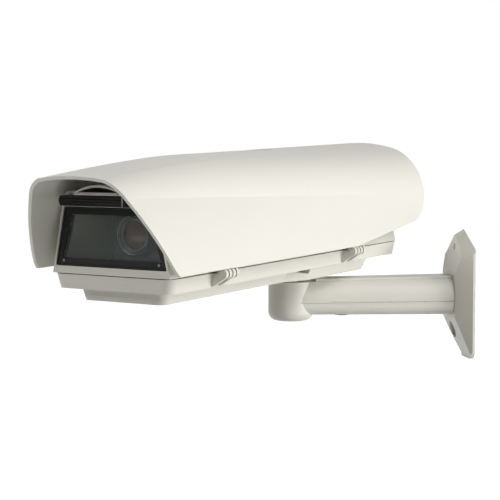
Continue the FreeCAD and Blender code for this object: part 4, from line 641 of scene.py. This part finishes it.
class HOUSING_OT_studio(bpy.types.Operator):
    """Set up the floor, the surrounding light, the lights and the camera"""
    bl_idname = "housing.studio"
    bl_label = "Studio"

    def execute(self, context):
        settings = context.scene.housing_studio
        make_floor()
        make_surroundings(context.scene, settings)
        make_light("key_softbox", KEY_PLACE, HOUSING_AIM, SOFTBOX_SIZE, settings.key_power)
        make_light("upper_softbox", UPPER_PLACE, HOUSING_AIM, SOFTBOX_SIZE, settings.upper_power)
        make_light("fill_softbox", FILL_PLACE, HOUSING_AIM, SOFTBOX_SIZE, settings.fill_power)
        make_light("arm_softbox", ARM_PLACE, ARM_AIM, ARM_SOFTBOX_SIZE, settings.arm_power)
        make_camera(context.scene, settings)
        context.scene.view_settings.view_transform = "Standard"
        return {"FINISHED"}


def make_floor():
    """Pale seamless sweep far below the hung housing, lit from within towards the backdrop."""
    corners = [(x * FLOOR_HALF, y * FLOOR_HALF, FLOOR_HEIGHT)
               for x, y in ((-1, -1), (1, -1), (1, 1), (-1, 1))]
    floor = mesh_object("studio_floor", corners, faces=[(0, 1, 2, 3)])
    # Matt white paper, which burns out to plain white where it rises to the backdrop.
    material, tree, shader = principled("white_studio_paper", hex_to_linear("#E6E6E4"), roughness=0.95)
    place = add_node(tree, "ShaderNodeTexCoord")
    axes = add_node(tree, "ShaderNodeSeparateXYZ", ((0, place.outputs["Object"]),))
    glow = add_node(tree, "ShaderNodeMapRange", (("Value", axes.outputs["Y"]),
                                                 ("From Min", FLOOR_GLOW_FROM),
                                                 ("From Max", FLOOR_GLOW_TO), ("To Min", 0.0),
                                                 ("To Max", 1.0)),
                    interpolation_type="SMOOTHSTEP")
    shader.inputs["Emission Color"].default_value = (1.0, 1.0, 1.0, 1.0)
    tree.links.new(glow.outputs[0], shader.inputs["Emission Strength"])
    floor.data.materials.append(material)


def make_surroundings(scene, settings):
    """White backdrop behind the housing; in front of it a dim room whose light comes from above."""
    world = bpy.data.worlds.new("studio_tent")
    scene.world = world
    world.use_nodes = True
    tree = world.node_tree
    tree.nodes.clear()
    place = add_node(tree, "ShaderNodeTexCoord")
    axes = add_node(tree, "ShaderNodeSeparateXYZ", ((0, place.outputs["Generated"]),))
    room = add_node(tree, "ShaderNodeMapRange", (("Value", axes.outputs["Z"]), ("From Min", 0.0),
                                                 ("From Max", 0.6), ("To Min", settings.room_low),
                                                 ("To Max", settings.room_high)),
                    interpolation_type="SMOOTHSTEP")
    backdrop = add_node(tree, "ShaderNodeMapRange", (("Value", axes.outputs["Y"]),
                                                     ("From Min", BACKDROP_FROM),
                                                     ("From Max", BACKDROP_TO), ("To Min", 0.0),
                                                     ("To Max", 1.0)),
                        interpolation_type="SMOOTHSTEP")
    light = add_node(tree, "ShaderNodeMath", ((0, room.outputs[0]), (1, backdrop.outputs[0])),
                     operation="MAXIMUM")
    background = add_node(tree, "ShaderNodeBackground", (("Color", (1.0, 1.0, 1.0, 1.0)),
                                                         ("Strength", light.outputs[0])))
    add_node(tree, "ShaderNodeOutputWorld", ((0, background.outputs[0]),))


def make_light(name, place, target, size, power):
    light = bpy.data.lights.new(name, "AREA")
    light.size = size
    light.energy = power
    obj = bpy.data.objects.new(name, light)
    obj.location = place
    aim = Vector(target) - Vector(place)
    obj.rotation_euler = aim.to_track_quat("-Z", "Y").to_euler()
    bpy.context.scene.collection.objects.link(obj)


def make_camera(scene, settings):
    camera = bpy.data.cameras.new("studio_camera")
    camera.lens = settings.focal_length
    camera.sensor_width = SENSOR_WIDTH
    obj = bpy.data.objects.new("studio_camera", camera)
    obj.location = settings.camera_place
    obj.rotation_euler = (math.pi / 2 - settings.camera_pitch, 0.0, -settings.camera_yaw)
    scene.collection.objects.link(obj)
    scene.camera = obj


class HOUSING_PT_dresser(bpy.types.Panel):
    """Buttons and settings of the housing's looks"""
    bl_idname = "HOUSING_PT_dresser"
    bl_label = "Camera Housing"
    bl_space_type = "VIEW_3D"
    bl_region_type = "UI"
    bl_category = "Housing"

    def draw(self, context):
        for operator in OPERATORS:
            self.layout.operator(operator.bl_idname)
        scene = context.scene
        for group in (scene.housing_finish, scene.housing_pieces, scene.housing_studio):
            box = self.layout.box()
            for name in group.bl_rna.properties.keys():
                if name not in ("rna_type", "name"):
                    box.prop(group, name)


SETTINGS = (HousingFinishSettings, HousingPieceSettings, HousingStudioSettings)
OPERATORS = (HOUSING_OT_finishes, HOUSING_OT_glazing_bead, HOUSING_OT_grip_studs, HOUSING_OT_corner_screws,
             HOUSING_OT_terminal_screws, HOUSING_OT_lens_rings, HOUSING_OT_brow_trim, HOUSING_OT_parting_bead,
             HOUSING_OT_studio)
CLASSES = SETTINGS + OPERATORS + (HOUSING_PT_dresser,)


def register():
    for cls in CLASSES:
        bpy.utils.register_class(cls)
    bpy.types.Scene.housing_finish = bpy.props.PointerProperty(type=HousingFinishSettings)
    bpy.types.Scene.housing_pieces = bpy.props.PointerProperty(type=HousingPieceSettings)
    bpy.types.Scene.housing_studio = bpy.props.PointerProperty(type=HousingStudioSettings)


def unregister():
    del bpy.types.Scene.housing_finish
    del bpy.types.Scene.housing_pieces
    del bpy.types.Scene.housing_studio
    for cls in reversed(CLASSES):
        bpy.utils.unregister_class(cls)


def main():
    register()
    bpy.ops.housing.finishes()
    bpy.ops.housing.glazing_bead()
    bpy.ops.housing.grip_studs()
    bpy.ops.housing.corner_screws()
    bpy.ops.housing.terminal_screws()
    bpy.ops.housing.lens_rings()
    bpy.ops.housing.brow_trim()
    bpy.ops.housing.parting_bead()
    bpy.ops.housing.studio()


if __name__ == "__main__":
    main()
